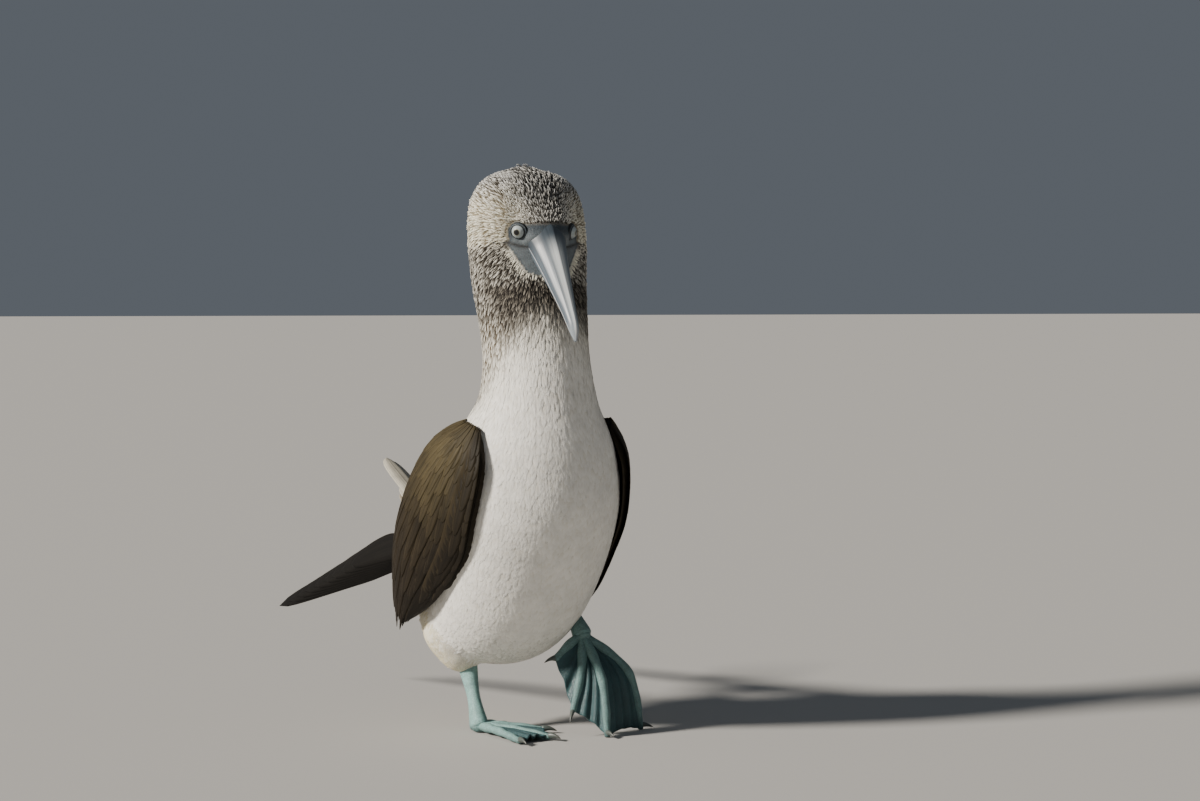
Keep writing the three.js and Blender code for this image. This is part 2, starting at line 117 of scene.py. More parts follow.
def meshFrom(name, points, faces, material=None, maps=None, colour=None, smooth=True):
    # points in mm; faces is a list of arrays, one for each number of corners
    mesh = bpy.data.meshes.new(name)
    corners = np.concatenate([part.ravel() for part in faces])
    totals = np.concatenate([np.full(len(part), part.shape[1]) for part in faces])
    starts = np.cumsum(totals) - totals
    mesh.vertices.add(len(points))
    mesh.vertices.foreach_set("co", ((points + standShift) / 1000).ravel())
    mesh.loops.add(len(corners))
    mesh.loops.foreach_set("vertex_index", corners)
    mesh.polygons.add(len(starts))
    mesh.polygons.foreach_set("loop_start", starts)
    mesh.polygons.foreach_set("use_smooth", np.full(len(starts), smooth))
    for label, uv in (maps or {}).items():
        mesh.uv_layers.new(name=label).data.foreach_set("uv", uv[corners].ravel())
    if colour is not None:
        paint(mesh, colour)
    mesh.update(calc_edges=True)
    if material:
        mesh.materials.append(material)
    piece = bpy.data.objects.new(name, mesh)
    bpy.context.scene.collection.objects.link(piece)
    return piece


def paint(mesh, colour):
    # the linear colour of each point, read by the materials as "tint"
    tint = mesh.attributes.new("tint", "FLOAT_COLOR", "POINT")
    tint.data.foreach_set("color", np.column_stack([colour, np.ones(len(colour))]).ravel())


def gridPiece(name, grids, material, colour=None, side=1):
    # one mesh of several grids of points (rows x cols x 3), poles and seams welded; side is -1
    # for the bird's right, where the shape is mirrored
    grids = [grids] if isinstance(grids, np.ndarray) else grids
    points, faces, maps, start = [], [], [], 0
    for grid in grids:
        rows, cols = grid.shape[:2]
        points.append(grid.reshape(-1, 3))
        faces.append(gridFaces(rows, cols) + start)
        v, u = shares(rows, cols)
        maps.append(np.column_stack([u.ravel(), v.ravel()]))
        start += rows * cols
    points = np.concatenate(points) * [side, 1, 1]
    maps = {"grain": np.concatenate(maps)}
    return weld(meshFrom(name, points, [np.concatenate(faces)], material, maps, colour))


def weld(piece):
    # merges doubled points, then turns every face outwards
    work = bmesh.new()
    work.from_mesh(piece.data)
    bmesh.ops.remove_doubles(work, verts=work.verts, dist=2e-6)
    bmesh.ops.dissolve_degenerate(work, edges=work.edges, dist=1e-7)
    bmesh.ops.recalc_face_normals(work, faces=work.faces)
    work.to_mesh(piece.data)
    work.free()
    return piece


def thicken(piece, thickness):
    # a wall of that many mm, half of it to each side
    wall = piece.modifiers.new("wall", "SOLIDIFY")
    wall.thickness = thickness / 1000
    wall.offset = 0
    return piece


def settle(piece, slot, *nodes):
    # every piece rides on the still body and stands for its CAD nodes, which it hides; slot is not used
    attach(piece, "root")
    if nodes:
        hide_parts(*nodes)
    return piece


# Materials

mixA, mixB, mixResult = 6, 7, 2  # the colour sockets of a Mix node
feather = {"IOR": 1.54}  # keratin
softSkin = {"IOR": 1.45, "Subsurface Weight": 0.05, "Subsurface Scale": 0.002}
horn = {"IOR": 1.54, "Subsurface Weight": 0.03, "Subsurface Scale": 0.002}
wetEye = {"Roughness": 0.35, "IOR": 1.376, "Coat Weight": 0.6, "Coat Roughness": 0.02, "Coat IOR": 1.376}


def outputOf(source):
    # a source is a node, for its first output, or a node and an output's name or number
    node, output = source if isinstance(source, tuple) else (source, 0)
    return node.outputs[output]


def addNode(tree, kind, settings, links=None):
    # settings are the node's own or its sockets', by name or number; links are socket: source
    node = tree.nodes.new("ShaderNode" + kind)
    for key, value in settings.items():
        if isinstance(key, str) and hasattr(node, key):
            setattr(node, key, value)
        else:
            node.inputs[key].default_value = value
    for key, source in (links or {}).items():
        tree.links.new(outputOf(source), node.inputs[key])
    return node


def newMaterial(name, surface):
    # a named material with one Principled surface, its fixed values on its own sockets
    material = bpy.data.materials.new(name)
    material.use_nodes = True
    for key, value in surface.items():
        material.node_tree.nodes["Principled BSDF"].inputs[key].default_value = value
    return material, material.node_tree


def dress(tree, shade, links, tint=None):
    # the surface's colour is the tint times the shade; links are its other sockets: source
    tint = tint or addNode(tree, "Attribute", {"attribute_name": "tint"})
    colour = addNode(tree, "VectorMath", {"operation": "SCALE"}, {0: tint, "Scale": shade})
    for key, source in {"Base Color": colour, **links}.items():
        tree.links.new(outputOf(source), tree.nodes["Principled BSDF"].inputs[key])


def mottled(tree, scale, detail, darkest, palest, stretch=None):
    # noise, and its shade from darkest to palest: over the piece's own place or, where stretch is
    # given, over its grain map stretched by that
    if stretch:
        grain = addNode(tree, "UVMap", {"uv_map": "grain"})
        place = addNode(tree, "Mapping", {"Scale": stretch}, {"Vector": grain})
    else:
        place = (addNode(tree, "TexCoord", {}), "Object")
    noise = addNode(tree, "TexNoise", {"Scale": scale, "Detail": detail}, {"Vector": place})
    limits = {"From Min": 0.3, "From Max": 0.7, "To Min": darkest, "To Max": palest}
    return noise, addNode(tree, "MapRange", limits, {"Value": noise})


def plumageMaterial(name, barbs, barbDepth, mottle):
    # Matt, a little silky vanes. The tint carries the markings, barbs run slantwise from the
    # shaft, and a soft mottle breaks the colour up.
    material, tree = newMaterial(name, {**feather, "Roughness": 0.8, "Specular IOR Level": 0.3})
    shade = mottled(tree, mottle, 4.0, 0.88, 1.05)[1]
    grain = addNode(tree, "UVMap", {"uv_map": "grain"})
    slant = addNode(tree, "Mapping", {"Rotation": (0, 0, 0.6)}, {"Vector": grain})
    comb = addNode(tree, "TexWave", {"Scale": barbs, "Distortion": 1.5, "Detail": 1.0}, {"Vector": slant})
    bump = addNode(tree, "Bump", {"Strength": 0.35, "Distance": barbDepth}, {"Height": (comb, "Fac")})
    dress(tree, shade, {"Normal": bump})
    return material


def flightMaterial(name, edge, edgeShare, barbTurns, barbStrength, roughness):
    # A long vane: tint in its middle, another colour at both worn edges, a dark shaft, streaks
    # along it, and fine barbs that slant from the shaft: sin(turns (v - 0.35 |u - 0.5|)).
    material, tree = newMaterial(name, {**feather, "Roughness": roughness, "Specular IOR Level": 0.15})
    tint = addNode(tree, "Attribute", {"attribute_name": "tint"})
    grain = addNode(tree, "UVMap", {"uv_map": "grain"})
    split = addNode(tree, "SeparateXYZ", {}, {"Vector": grain})
    across = addNode(tree, "Math", {"operation": "SUBTRACT", 1: 0.5}, {0: (split, "X")})
    reach = addNode(tree, "Math", {"operation": "ABSOLUTE"}, {0: across})
    fringe = addNode(tree, "MapRange", {"From Min": 0.34, "From Max": 0.5, "To Max": edgeShare},
                     {"Value": reach})
    shaft = addNode(tree, "MapRange", {"From Min": 0.012, "From Max": 0.035, "To Min": 0.5},
                    {"Value": reach})
    streak = mottled(tree, 1.0, 5.0, 0.5, 1.5, (26, 0.9, 1))[1]
    patch = mottled(tree, 60.0, 3.0, 0.8, 1.15)[1]
    shade = addNode(tree, "Math", {"operation": "MULTIPLY"}, {0: streak, 1: patch})
    shade = addNode(tree, "Math", {"operation": "MULTIPLY"}, {0: shade, 1: shaft})
    worn = addNode(tree, "Mix", {"data_type": "RGBA", mixB: (*linear(edge), 1)}, {0: fringe, mixA: tint})
    lean = addNode(tree, "Math", {"operation": "MULTIPLY", 1: -0.35}, {0: reach})
    rank = addNode(tree, "Math", {"operation": "ADD"}, {0: (split, "Y"), 1: lean})
    wave = addNode(tree, "Math", {"operation": "MULTIPLY", 1: barbTurns}, {0: rank})
    comb = addNode(tree, "Math", {"operation": "SINE"}, {0: wave})
    bump = addNode(tree, "Bump", {"Strength": barbStrength, "Distance": 0.0004}, {"Height": comb})
    dress(tree, shade, {"Normal": bump}, (worn, mixResult))
    return material


def skinMaterial(name, roughness, cell, depth, mottleSize, darkest):
    # Bare skin: the tint, clouded; a net of small scales or wrinkles whose lines are darker and
    # sunk. cell is the scales' size in mm.
    material, tree = newMaterial(name, softSkin)
    place = addNode(tree, "TexCoord", {})
    net = addNode(tree, "TexVoronoi", {"feature": "DISTANCE_TO_EDGE", "Scale": 1000 / cell},
                  {"Vector": (place, "Object")})
    line = addNode(tree, "MapRange", {"From Max": 0.12}, {"Value": (net, "Distance")})
    dark = addNode(tree, "MapRange", {"To Min": darkest}, {"Value": line})
    cloud, patch = mottled(tree, 1000 / mottleSize, 5.0, 0.82, 1.12)
    shade = addNode(tree, "Math", {"operation": "MULTIPLY"}, {0: dark, 1: patch})
    rough = addNode(tree, "MapRange", {"To Min": roughness - 0.1, "To Max": roughness + 0.12},
                    {"Value": cloud})
    bump = addNode(tree, "Bump", {"Strength": 0.6, "Distance": depth / 1000}, {"Height": line})
    dress(tree, shade, {"Normal": bump, "Roughness": rough})
    return material


def hornMaterial(name, roughness):
    # Bill and claw sheath: smooth horn with fine lengthwise growth lines and faint scuffs
    material, tree = newMaterial(name, horn)
    lines, shade = mottled(tree, 1.0, 6.0, 0.78, 1.15, (34, 2.4, 1))
    rough = addNode(tree, "MapRange", {"To Min": roughness - 0.12, "To Max": roughness + 0.15},
                    {"Value": lines})
    bump = addNode(tree, "Bump", {"Strength": 0.3, "Distance": 0.0003}, {"Height": lines})
    dress(tree, shade, {"Normal": bump, "Roughness": rough})
    return material


def eyeMaterial():
    # A wet eye: the cornea's gloss is a clear coat over the iris, whose fibres run outwards
    # from the pupil. grain holds the place round the eye and the share from pole to pole.
    material, tree = newMaterial("wetIris", wetEye)
    dress(tree, mottled(tree, 1.0, 4.0, 0.75, 1.1, (60, 6, 1))[1], {})
    return material


# Body, face and thighs: stations of x, y, z, half width and half depth, close to the part's own

bodyStations = np.array([
    (0, 142, 124, 0, 0), (0, 122, 116, 32, 20), (0, 94, 106, 50, 38), (0, 62, 102, 62, 55),
    (0, 36, 122, 68, 62), (0, 14, 160, 73, 66), (0, 0, 196, 73, 68), (0, -9, 230, 64, 59),
    (0, -13, 262, 48.5, 47), (0, -11, 292, 43, 43), (0, -6, 322, 43, 41), (0, 1, 352, 45.5, 37),
    (0, 5, 384, 47.5, 36), (0, 8, 408, 46, 35.5), (0, 10, 424, 40.5, 31), (0, 11, 435, 28, 21),
    (0, 11, crownHeight, 0, 0),
], float)
rightThigh = np.array([
    (-30, 66, 122, 0, 0), (-33, 66, 100, 28, 32), (-34, 65, 78, 29, 31), (-31, 63, 59, 20, 22),
    (-28, 61, 48, 11, 12), (-27, 60, 42, 0, 0),
], float)
leftThigh = np.array([
    (42, 52, 130, 0, 0), (43, 45, 114, 20, 22), (45, 36, 100, 18, 19), (46, 28, 90, 13, 13),
    (47, 23, 82, 0, 0),
], float)
eyeLook = {"centre": (20.5, -25, 392), "gaze": (0.72, -0.66, -0.2), "pupil": 2.1, "iris": 5.2}
faceOrigin = np.array([0.0, -27.0, 391.0])
billPitch = math.radians(55)
billAxis = np.array([0, -math.cos(billPitch), -math.sin(billPitch)])
billUp = np.array([0, -math.sin(billPitch), math.cos(billPitch)])


def alongBill(table):
    # rows of along, up, half width, half depth in the bill's frame, as stations
    table = np.array(table, float)
    centres = faceOrigin + table[:, :1] * billAxis + table[:, 1:2] * billUp
    return np.column_stack([centres, table[:, 2:]])


faceStations = alongBill([(-50, -6, 0, 0), (-34, -7, 27, 23), (-12, -4, 27, 19), (0, -3.5, 22, 16),
                          (9, -4, 17, 13), (14, -4, 0, 0)])
billStations = alongBill([(-15, -8, 0, 0), (-6, -5.5, 13, 12), (3, -3.2, 16.9, 15.7), (16, -2.5, 14, 14.5),
                          (34, -1.5, 10.8, 12), (54, -0.5, 8, 9), (72, 0, 5.6, 6.6), (90, -0.5, 3.6, 4.2),
                          (culmen, -3, 0, 0)])


def stationFrame(stations, t, blunt=1.0):
    # centre, half sizes (domed at both ends where blunt is 1, a cone where it is 0), the two
    # directions across and the tangent at share t of the stations; the dome is
    # (e (2 - e))^.5 / max(e, .5) for e = 0 at the end to 1 half a station further on
    values = through(stations, t)
    small = 1e-3
    tangent = unit(through(stations[:, :3], t + small) - through(stations[:, :3], t - small))
    across = unit(sideways - tangent * tangent[..., :1])
    deep = np.cross(tangent, across)
    ends = np.minimum(1, 2 * (len(stations) - 1) * np.minimum(t, 1 - t))
    dome = np.where(ends < 1, np.sqrt(np.clip(ends * (2 - ends), 0, 1)) / np.maximum(ends, 0.5), 1)
    dome = 1 + blunt * (dome - 1)
    return values[..., :3], np.maximum(values[..., 3:] * dome[..., None], 0), across, deep, tangent


def stationSkin(stations, rows, cols, inset, blunt=1.0):
    # centre(t) + (wide - inset) cos(a) across + (deep - inset) sin(a) deep, over t and a
    t, a = np.meshgrid(np.linspace(0, 1, rows), np.linspace(0, 2 * np.pi, cols), indexing="ij")
    centre, sizes, across, deep, _ = stationFrame(stations, t, blunt)
    wide, tall = np.moveaxis(np.maximum(sizes - inset, 0), -1, 0)[..., None]
    return centre + wide * np.cos(a)[..., None] * across + tall * np.sin(a)[..., None] * deep


def alongBody(points):
    # for each point, the nearest share of the body's centre line, the turn round it and its tangent
    share = np.linspace(0, 1, 161)
    centre, _, across, deep, tangent = stationFrame(bodyStations, share)
    nearest = np.concatenate([
        np.argmin(((part[:, None] - centre) ** 2).sum(-1), axis=1) for part in np.array_split(points, 40)
    ])
    away = points - centre[nearest]
    turn = np.arctan2((away * deep[nearest]).sum(-1), (away * across[nearest]).sum(-1))
    return share[nearest], turn, tangent[nearest]


# Tufts and vanes

def tufts(name, roots, ways, outs, size, tints, places, material):
    # Closed slips with a three-cornered section: centre = root + way L v + out (lift L v - curl L v^2),
    # half width = W w(v), ridge raised by thick w(v), and one point at the tip. In the OFBake map
    # each has a small patch where its root lies on the skin.
    stations = np.array([0.0, 0.42, 0.78])
    fullness = np.array([0.62, 1.0, 0.66])[:, None]
    length, width, lift, curl, thick = (part[:, None, None] for part in size)
    v = np.append(stations, 1.0)[:, None]
    sides = unit(np.cross(ways, outs))[:, None]
    ways, outs = ways[:, None], outs[:, None]
    centre = roots[:, None] + ways * length * v + outs * (lift * length * v - curl * length * v * v)
    spread, ridge = width * fullness * sides, outs * thick * fullness
    rings = np.stack([centre[:, :3] - spread, centre[:, :3] + ridge, centre[:, :3] + spread], axis=2)
    points = np.concatenate([rings.reshape(len(roots), 9, 3), centre[:, 3:]], axis=1)
    ring = np.array([(0, 1, 4, 3), (1, 2, 5, 4), (2, 0, 3, 5)])
    quads = np.concatenate([ring, ring + 3])
    ends = np.array([(6, 7, 9), (7, 8, 9), (8, 6, 9), (2, 1, 0)])
    steps = points.shape[1] * np.arange(len(roots))[:, None, None]
    faces = [(quads + steps).reshape(-1, 4), (ends + steps).reshape(-1, 3)]
    along = np.append(np.repeat(stations, 3), 1.0)
    own = np.column_stack([[0.0, 0.5, 1.0] * 3 + [0.5], along])
    low, high = places.min(0), places.max(0)
    spots = 0.01 + 0.98 * (places - low) / (high - low)
    bake = spots[:, None] + 0.003 * (own - 0.5)
    rootTint, tipTint, turnAt = tints
    share = rise(along, turnAt[:, None] - 0.22, turnAt[:, None] + 0.22)
    colour = mix(rootTint[:, None], tipTint[:, None], share)
    maps = {"grain": np.tile(own, (len(roots), 1)), "OFBake": bake.reshape(-1, 2)}
    return meshFrom(name, points.reshape(-1, 3), faces, material, maps, colour.reshape(-1, 3), smooth=False)


def vanes(name, grids, colours, material, thickness, side=1):
    # Large feathers, each a grid of rows x cols points (all alike in count); each has a cell
    # of its own in the OFBake map, so that no two share their colours
    grids = np.array(grids)
    count, rows, cols = grids.shape[:3]
    faces = gridFaces(rows, cols, count)
    if side < 0:
        faces = faces[:, ::-1]
    v, u = shares(rows, cols)
    local = np.column_stack([u.ravel(), v.ravel()])
    across = math.ceil(math.sqrt(count))
    cell = np.column_stack([np.arange(count) % across, np.arange(count) // across])
    bake = (cell[:, None] + 0.06 + 0.88 * local[None]) / across
    colour = np.repeat(np.array(colours)[:, None], rows * cols, axis=1).reshape(-1, 3)
    piece = meshFrom(name, grids.reshape(-1, 3) * [side, 1, 1], [faces], material,
                     {"grain": np.tile(local, (count, 1)), "OFBake": bake.reshape(-1, 2)}, colour)
    return thicken(piece, thickness)


# Skin: body, face and thighs fused into one, a coat's depth inside the part's nodes

skinSizes = {"bodyInset": 2.0, "headInset": 0.8, "faceInset": 0.6, "voxel": 1.5, "smoothing": 6,
             "blending": 60, "blendBelow": 150, "crownBlunt": 0.55}


def readVectors(collection, key, width):
    # one property of a mesh's elements, a row for each
    values = np.empty(len(collection) * width)
    collection.foreach_get(key, values)
    return values.reshape(-1, width)


def applied(piece):
    # the piece with its modifiers worked into its mesh
    bpy.context.view_layer.update()
    mesh = bpy.data.meshes.new_from_object(piece.evaluated_get(bpy.context.evaluated_depsgraph_get()))
    piece.modifiers.clear()
    piece.data = mesh
    return piece


def fusedSkin():
    # the shells remade as one closed surface, softened, and more so where thighs and belly meet
    rows = 241
    height = through(bodyStations, np.linspace(0, 1, rows))[:, 2]
    inset = np.interp(height, [300, 350], [skinSizes["bodyInset"], skinSizes["headInset"]])
    shells = [
        stationSkin(bodyStations, rows, 129, inset[:, None, None], skinSizes["crownBlunt"]),
        stationSkin(faceStations, 81, 81, skinSizes["faceInset"]),
        stationSkin(rightThigh, 81, 65, skinSizes["bodyInset"]),
        stationSkin(leftThigh, 61, 49, skinSizes["bodyInset"]),
    ]
    whole = gridPiece("skin", shells, None)
    remade = whole.modifiers.new("fuse", "REMESH")
    remade.mode = "VOXEL"
    remade.voxel_size = skinSizes["voxel"] / 1000
    soft = whole.modifiers.new("soften", "SMOOTH")
    soft.iterations = skinSizes["smoothing"]
    applied(whole)
    height = readVectors(whole.data.vertices, "co", 3)[:, 2] * 1000
    low = whole.vertex_groups.new(name="low")
    low.add(np.flatnonzero(height < skinSizes["blendBelow"]).tolist(), 1.0, "REPLACE")
    blend = whole.modifiers.new("blend", "SMOOTH")
    blend.iterations = skinSizes["blending"]
    blend.vertex_group = "low"
    applied(whole)
    whole.vertex_groups.clear()
    whole.data.polygons.foreach_set("use_smooth", np.ones(len(whole.data.polygons), bool))
    return whole


skin = fusedSkin()
skinPoints = readVectors(skin.data.vertices, "co", 3) * 1000 - standShift
skinNormals = readVectors(skin.data.vertices, "normal", 3)
print("skin fused:", len(skin.data.polygons), "faces")


# Markings: the same for skin and coat, from the place on the body

plumageTints = tintTable(
    white=0xF7F4EC, whiteRoot=0xEAE5D8, vent=0xE6DAB6, tip=0xE4E0D4, crownTip=0xEDEBE4, cheekTip=0xFBF5E2,
    dark=0x2E261C, crownDark=0x110E0C, neckDark=0x574A37, cheekDark=0x7C6F53, throat=0x231D17,
    throatTip=0x8A8070, bare=0x70787C, bareDark=0x3F484F, back=0x4A3E2C)
# half the bare face's width at each height, from chin to forehead
bareHeights = [356.5, 358.5, 361, 369, 379, 383, 386, 392, 397]
bareWidths = [0, 9.7, 17.6, 22.7, 28.4, 30.2, 28, 26, 21]


def billPlace(points):
    # along the bill's axis, up from it and across, from the face's origin
    away = points - faceOrigin
    return away @ billAxis, away @ billUp, away[:, 0]


def bareReach(z):
    # how far out from the middle the bare face goes at each height
    return np.interp(z, bareHeights, bareWidths)


def bareShare(points):
    # 1 on the bare face: inside its reach, in the rings of the eyes, and along the gape's crease
    x, y, z = np.abs(points[:, 0]), points[:, 1], points[:, 2]
    inside = rise(bareReach(z) - x, -0.5, 0.5) * rise(z, 356.5, 357.5) * rise(-z, -397.2, -396.2)
    inside = inside * rise(-y, 14, 18)
    seat = np.array(eyeLook["centre"]) + 4 * unit(np.array(eyeLook["gaze"], float))
    ring = rise(-np.linalg.norm(np.column_stack([x, y, z]) - seat, axis=1), -8.7, -7.8)
    crease = rise(-np.abs(z - 383.2 - 0.05 * (x - 30)), -0.9, -0.5)
    crease = crease * rise(x, 26, 28) * rise(-x, -39.5, -38) * (y < 0)
    return np.clip(inside + ring + crease, 0, 1)


def markings(points, normals, share):
    # root and tip colours, where along a tuft one turns to the other, and how streaked each
    # place is, from soft steps of height, of the way out from the middle and of the way it faces
    aside, z = np.abs(points[:, 0]), points[:, 2]
    front = -normals[:, 1]
    low = 296 - 55 * np.clip(1 - front, 0, 1.2)
    streaked = rise(z, low, low + 55) * (share > 0.45)
    crown = rise(z, 402, 424) * (1 - 0.85 * rise(aside, 16, 38))
    cheek = rise(z, 380, 386) * rise(-z, -432, -404) * rise(aside, 8, 36)
    # a creamy strip under the bare face, and dark streaks on the throat, darker still as a painted shadow of
    # the bill
    strip = rise(bareReach(z) - aside, -3.0, -1.2) * rise(z, 352, 358) * rise(-z, -381, -376)
    strip = strip * rise(-points[:, 1], 10, 16)
    jowl = rise(z, 300, 330) * rise(-z, -384, -378)
    throat = rise(front, 0.2, 0.8) * rise(z, 300, 350) * rise(-z, -360, -352)
    vent = rise(points[:, 1], 38, 64) * rise(-z, -126, -104)
    # between the wings the back is brown with pale tips
    back = rise(normals[:, 1], 0.1, 0.55) * rise(z, 118, 150) * rise(-z, -272, -232) * (share < 0.6)
    streaked = np.maximum(streaked, back)
    dark = layered(plumageTints, "neckDark", dark=rise(z, 300, 345), crownDark=crown, throat=throat,
                   cheekTip=0.8 * strip, cheekDark=cheek, back=back)
    # throatTip greys the tips on the front of the throat: partly its own streaks, partly the bill's painted
    # shadow
    tip = layered(plumageTints, "tip", crownTip=rise(z, 386, 400), cheekTip=cheek, throatTip=0.8 * throat)
    tip = mix(tip, plumageTints["cheekTip"], strip)
    white = layered(plumageTints, "white", vent=0.8 * vent)
    root = mix(layered(plumageTints, "whiteRoot", vent=vent), dark, streaked)
    later = 0.12 + 0.15 * jowl + 0.1 * throat - 0.2 * strip - 0.13 * cheek + 0.15 * crown
    return root, mix(white, tip, streaked), 0.5 + streaked * later, streaked


skinRoot, skinTip, _, skinStreak = markings(skinPoints, skinNormals, alongBody(skinPoints)[0])
skinTint = mix(skinRoot, skinTip, 0.4 - 0.25 * skinStreak)
outward = np.abs(skinPoints[:, 0])
# painted shade: the bare face darkens towards its top, under the forehead's feathers, and along its edge,
# under the feathers round it
bareTint = mix(plumageTints["bare"], plumageTints["bareDark"], rise(skinPoints[:, 2], 384, 394))
bareTint = mix(bareTint, plumageTints["bareDark"], rise(outward - bareReach(skinPoints[:, 2]), -3, 0))
# the gape, a dark line from the bill to below the eye
mouthLine = billPlace(skinPoints)[1] + 4.9 + 0.24 * (outward - 17)
gape = 0.85 * np.exp(-((mouthLine / 0.7) ** 2)) * (outward > 14)
bareTint = mix(bareTint, plumageTints["throat"], gape)
paint(skin.data, mix(skinTint, bareTint, bareShare(skinPoints)))


# Roots: places on the skin, about evenly apart, with the lie of the feathers

def skinSamples(perTriangle):
    # random places on each triangle, by the shares 1 - sqrt(r1), sqrt(r1) (1 - r2) and sqrt(r1) r2
    # of its corners
    skin.data.calc_loop_triangles()
    corners = np.empty(len(skin.data.loop_triangles) * 3, int)
    skin.data.loop_triangles.foreach_get("vertices", corners)
    corners = np.repeat(corners.reshape(-1, 3), perTriangle, axis=0)
    corners = corners[draws.permutation(len(corners))]
    r1, r2 = np.sqrt(draws.random(len(corners))), draws.random(len(corners))
    weights = np.column_stack([1 - r1, r1 * (1 - r2), r1 * r2])[..., None]
    return (skinPoints[corners] * weights).sum(1), unit((skinNormals[corners] * weights).sum(1))


def cellsOf(points, spacing):
    # one number for the cube of that size each point is in: i + step j + step^2 k
    step = 100003  # more than the cubes along any side
    return np.floor(points / spacing).astype(np.int64) @ np.array([1, step, step * step])


def spaced(points, spacing):
    # the numbers of the points that are left when each cube of that size keeps one
    return np.unique(cellsOf(points, spacing), return_index=True)[1]


def lieOf(points, normals, tangents):
    # Away from the bill over the head, turning down the neck, then along the body to the vent:
    # (p - bill root) / |p - bill root| + down w, and the body's own line below the neck;
    # over the crown's front there is no turn down
    away = points - (faceOrigin + 4 * billAxis)
    distance = np.linalg.norm(away, axis=1)
    below = np.maximum(rise(-points[:, 2], -412, -376), rise(points[:, 1], 4, 30))
    down = (rise(distance, 14, 90) * below)[:, None] * np.array([0, 0.3, -1.2])
    share = rise(points[:, 2], 285, 335)[:, None]
    way = (unit(away) + down) * share - tangents * (1 - share)
    way = unit(way - normals * (way * normals).sum(1, keepdims=True))
    turned = unit(np.cross(normals, way))
    return unit(way + turned * draws.normal(0, 0.13, len(points))[:, None])


def skinDrop(normals, ends, spacing):
    # how far the skin lies above (below, if less than 0) each slip's straight end, by the plane
    # through the mean of the places in the end's cell: (mean - end) . n / (n . root normal)
    keys, cell, counts = np.unique(cellsOf(samplePoints, spacing), return_inverse=True, return_counts=True)
    means, leans = (np.stack([np.bincount(cell, part[:, k]) for k in range(3)], -1) / counts[:, None]
                    for part in (samplePoints, sampleNormals))
    wanted = cellsOf(ends, spacing)
    spot = np.minimum(np.searchsorted(keys, wanted), len(keys) - 1)
    drop = ((means[spot] - ends) * leans[spot]).sum(1)
    drop = drop / np.maximum((leans[spot] * normals).sum(1), 0.5)
    known = (keys[spot] == wanted) & (np.abs(drop) < spacing)
    return np.where(known, drop, -1.0)


samplePoints, sampleNormals = skinSamples(3)
sampleShare, sampleTurn, sampleTangent = alongBody(samplePoints)
sampleBare = bareShare(samplePoints)
sampleSpots = np.column_stack([sampleTurn / (2 * np.pi) + 0.5, sampleShare])
print("places drawn:", len(samplePoints))


# Coat: one entry for each region, sizes in mm; low and high are heights above the ground

coatRegions = {
    "plumage_crown": {"low": 400, "high": 450, "spacing": 2.15, "slot": "streaked_plumage"},
    "plumage_cheeks": {"low": 345, "high": 400, "spacing": 2.05, "slot": "streaked_plumage"},
    "plumage_neck": {"low": 250, "high": 345, "spacing": 2.45, "slot": "streaked_plumage"},
    "plumage_breast": {"low": 150, "high": 250, "spacing": 2.5, "slot": "white_plumage"},
    "plumage_belly": {"low": 30, "high": 150, "spacing": 2.6, "slot": "white_plumage"},
}
# what each tuft is like at each height, so that one region runs on into the next
tuftHeights = [50, 95, 240, 300, 345, 400, 443]
tuftLook = {
    "length": [7.0, 12.0, 13.0, 12.0, 9.0, 8.6, 10.0],
    "width": [1.5, 2.1, 1.9, 1.2, 0.8, 0.56, 0.5],
    "lift": [0.05, 0.08, 0.08, 0.13, 0.24, 0.3, 0.28],
    "above": [0.3, 0.5, 0.5, 0.65, 1.05, 1.4, 1.3],
    "thick": [0.08, 0.1, 0.1, 0.15, 0.26, 0.3, 0.3],
    "loose": [0.35, 0.35, 0.35, 0.45, 0.5, 0.5, 0.5],
}
downyWhite = plumageMaterial("downyContourFeathers", 3.0, 0.00015, 90.0)
streakedCoat = plumageMaterial("lanceolateHeadFeathers", 4.0, 0.0002, 140.0)


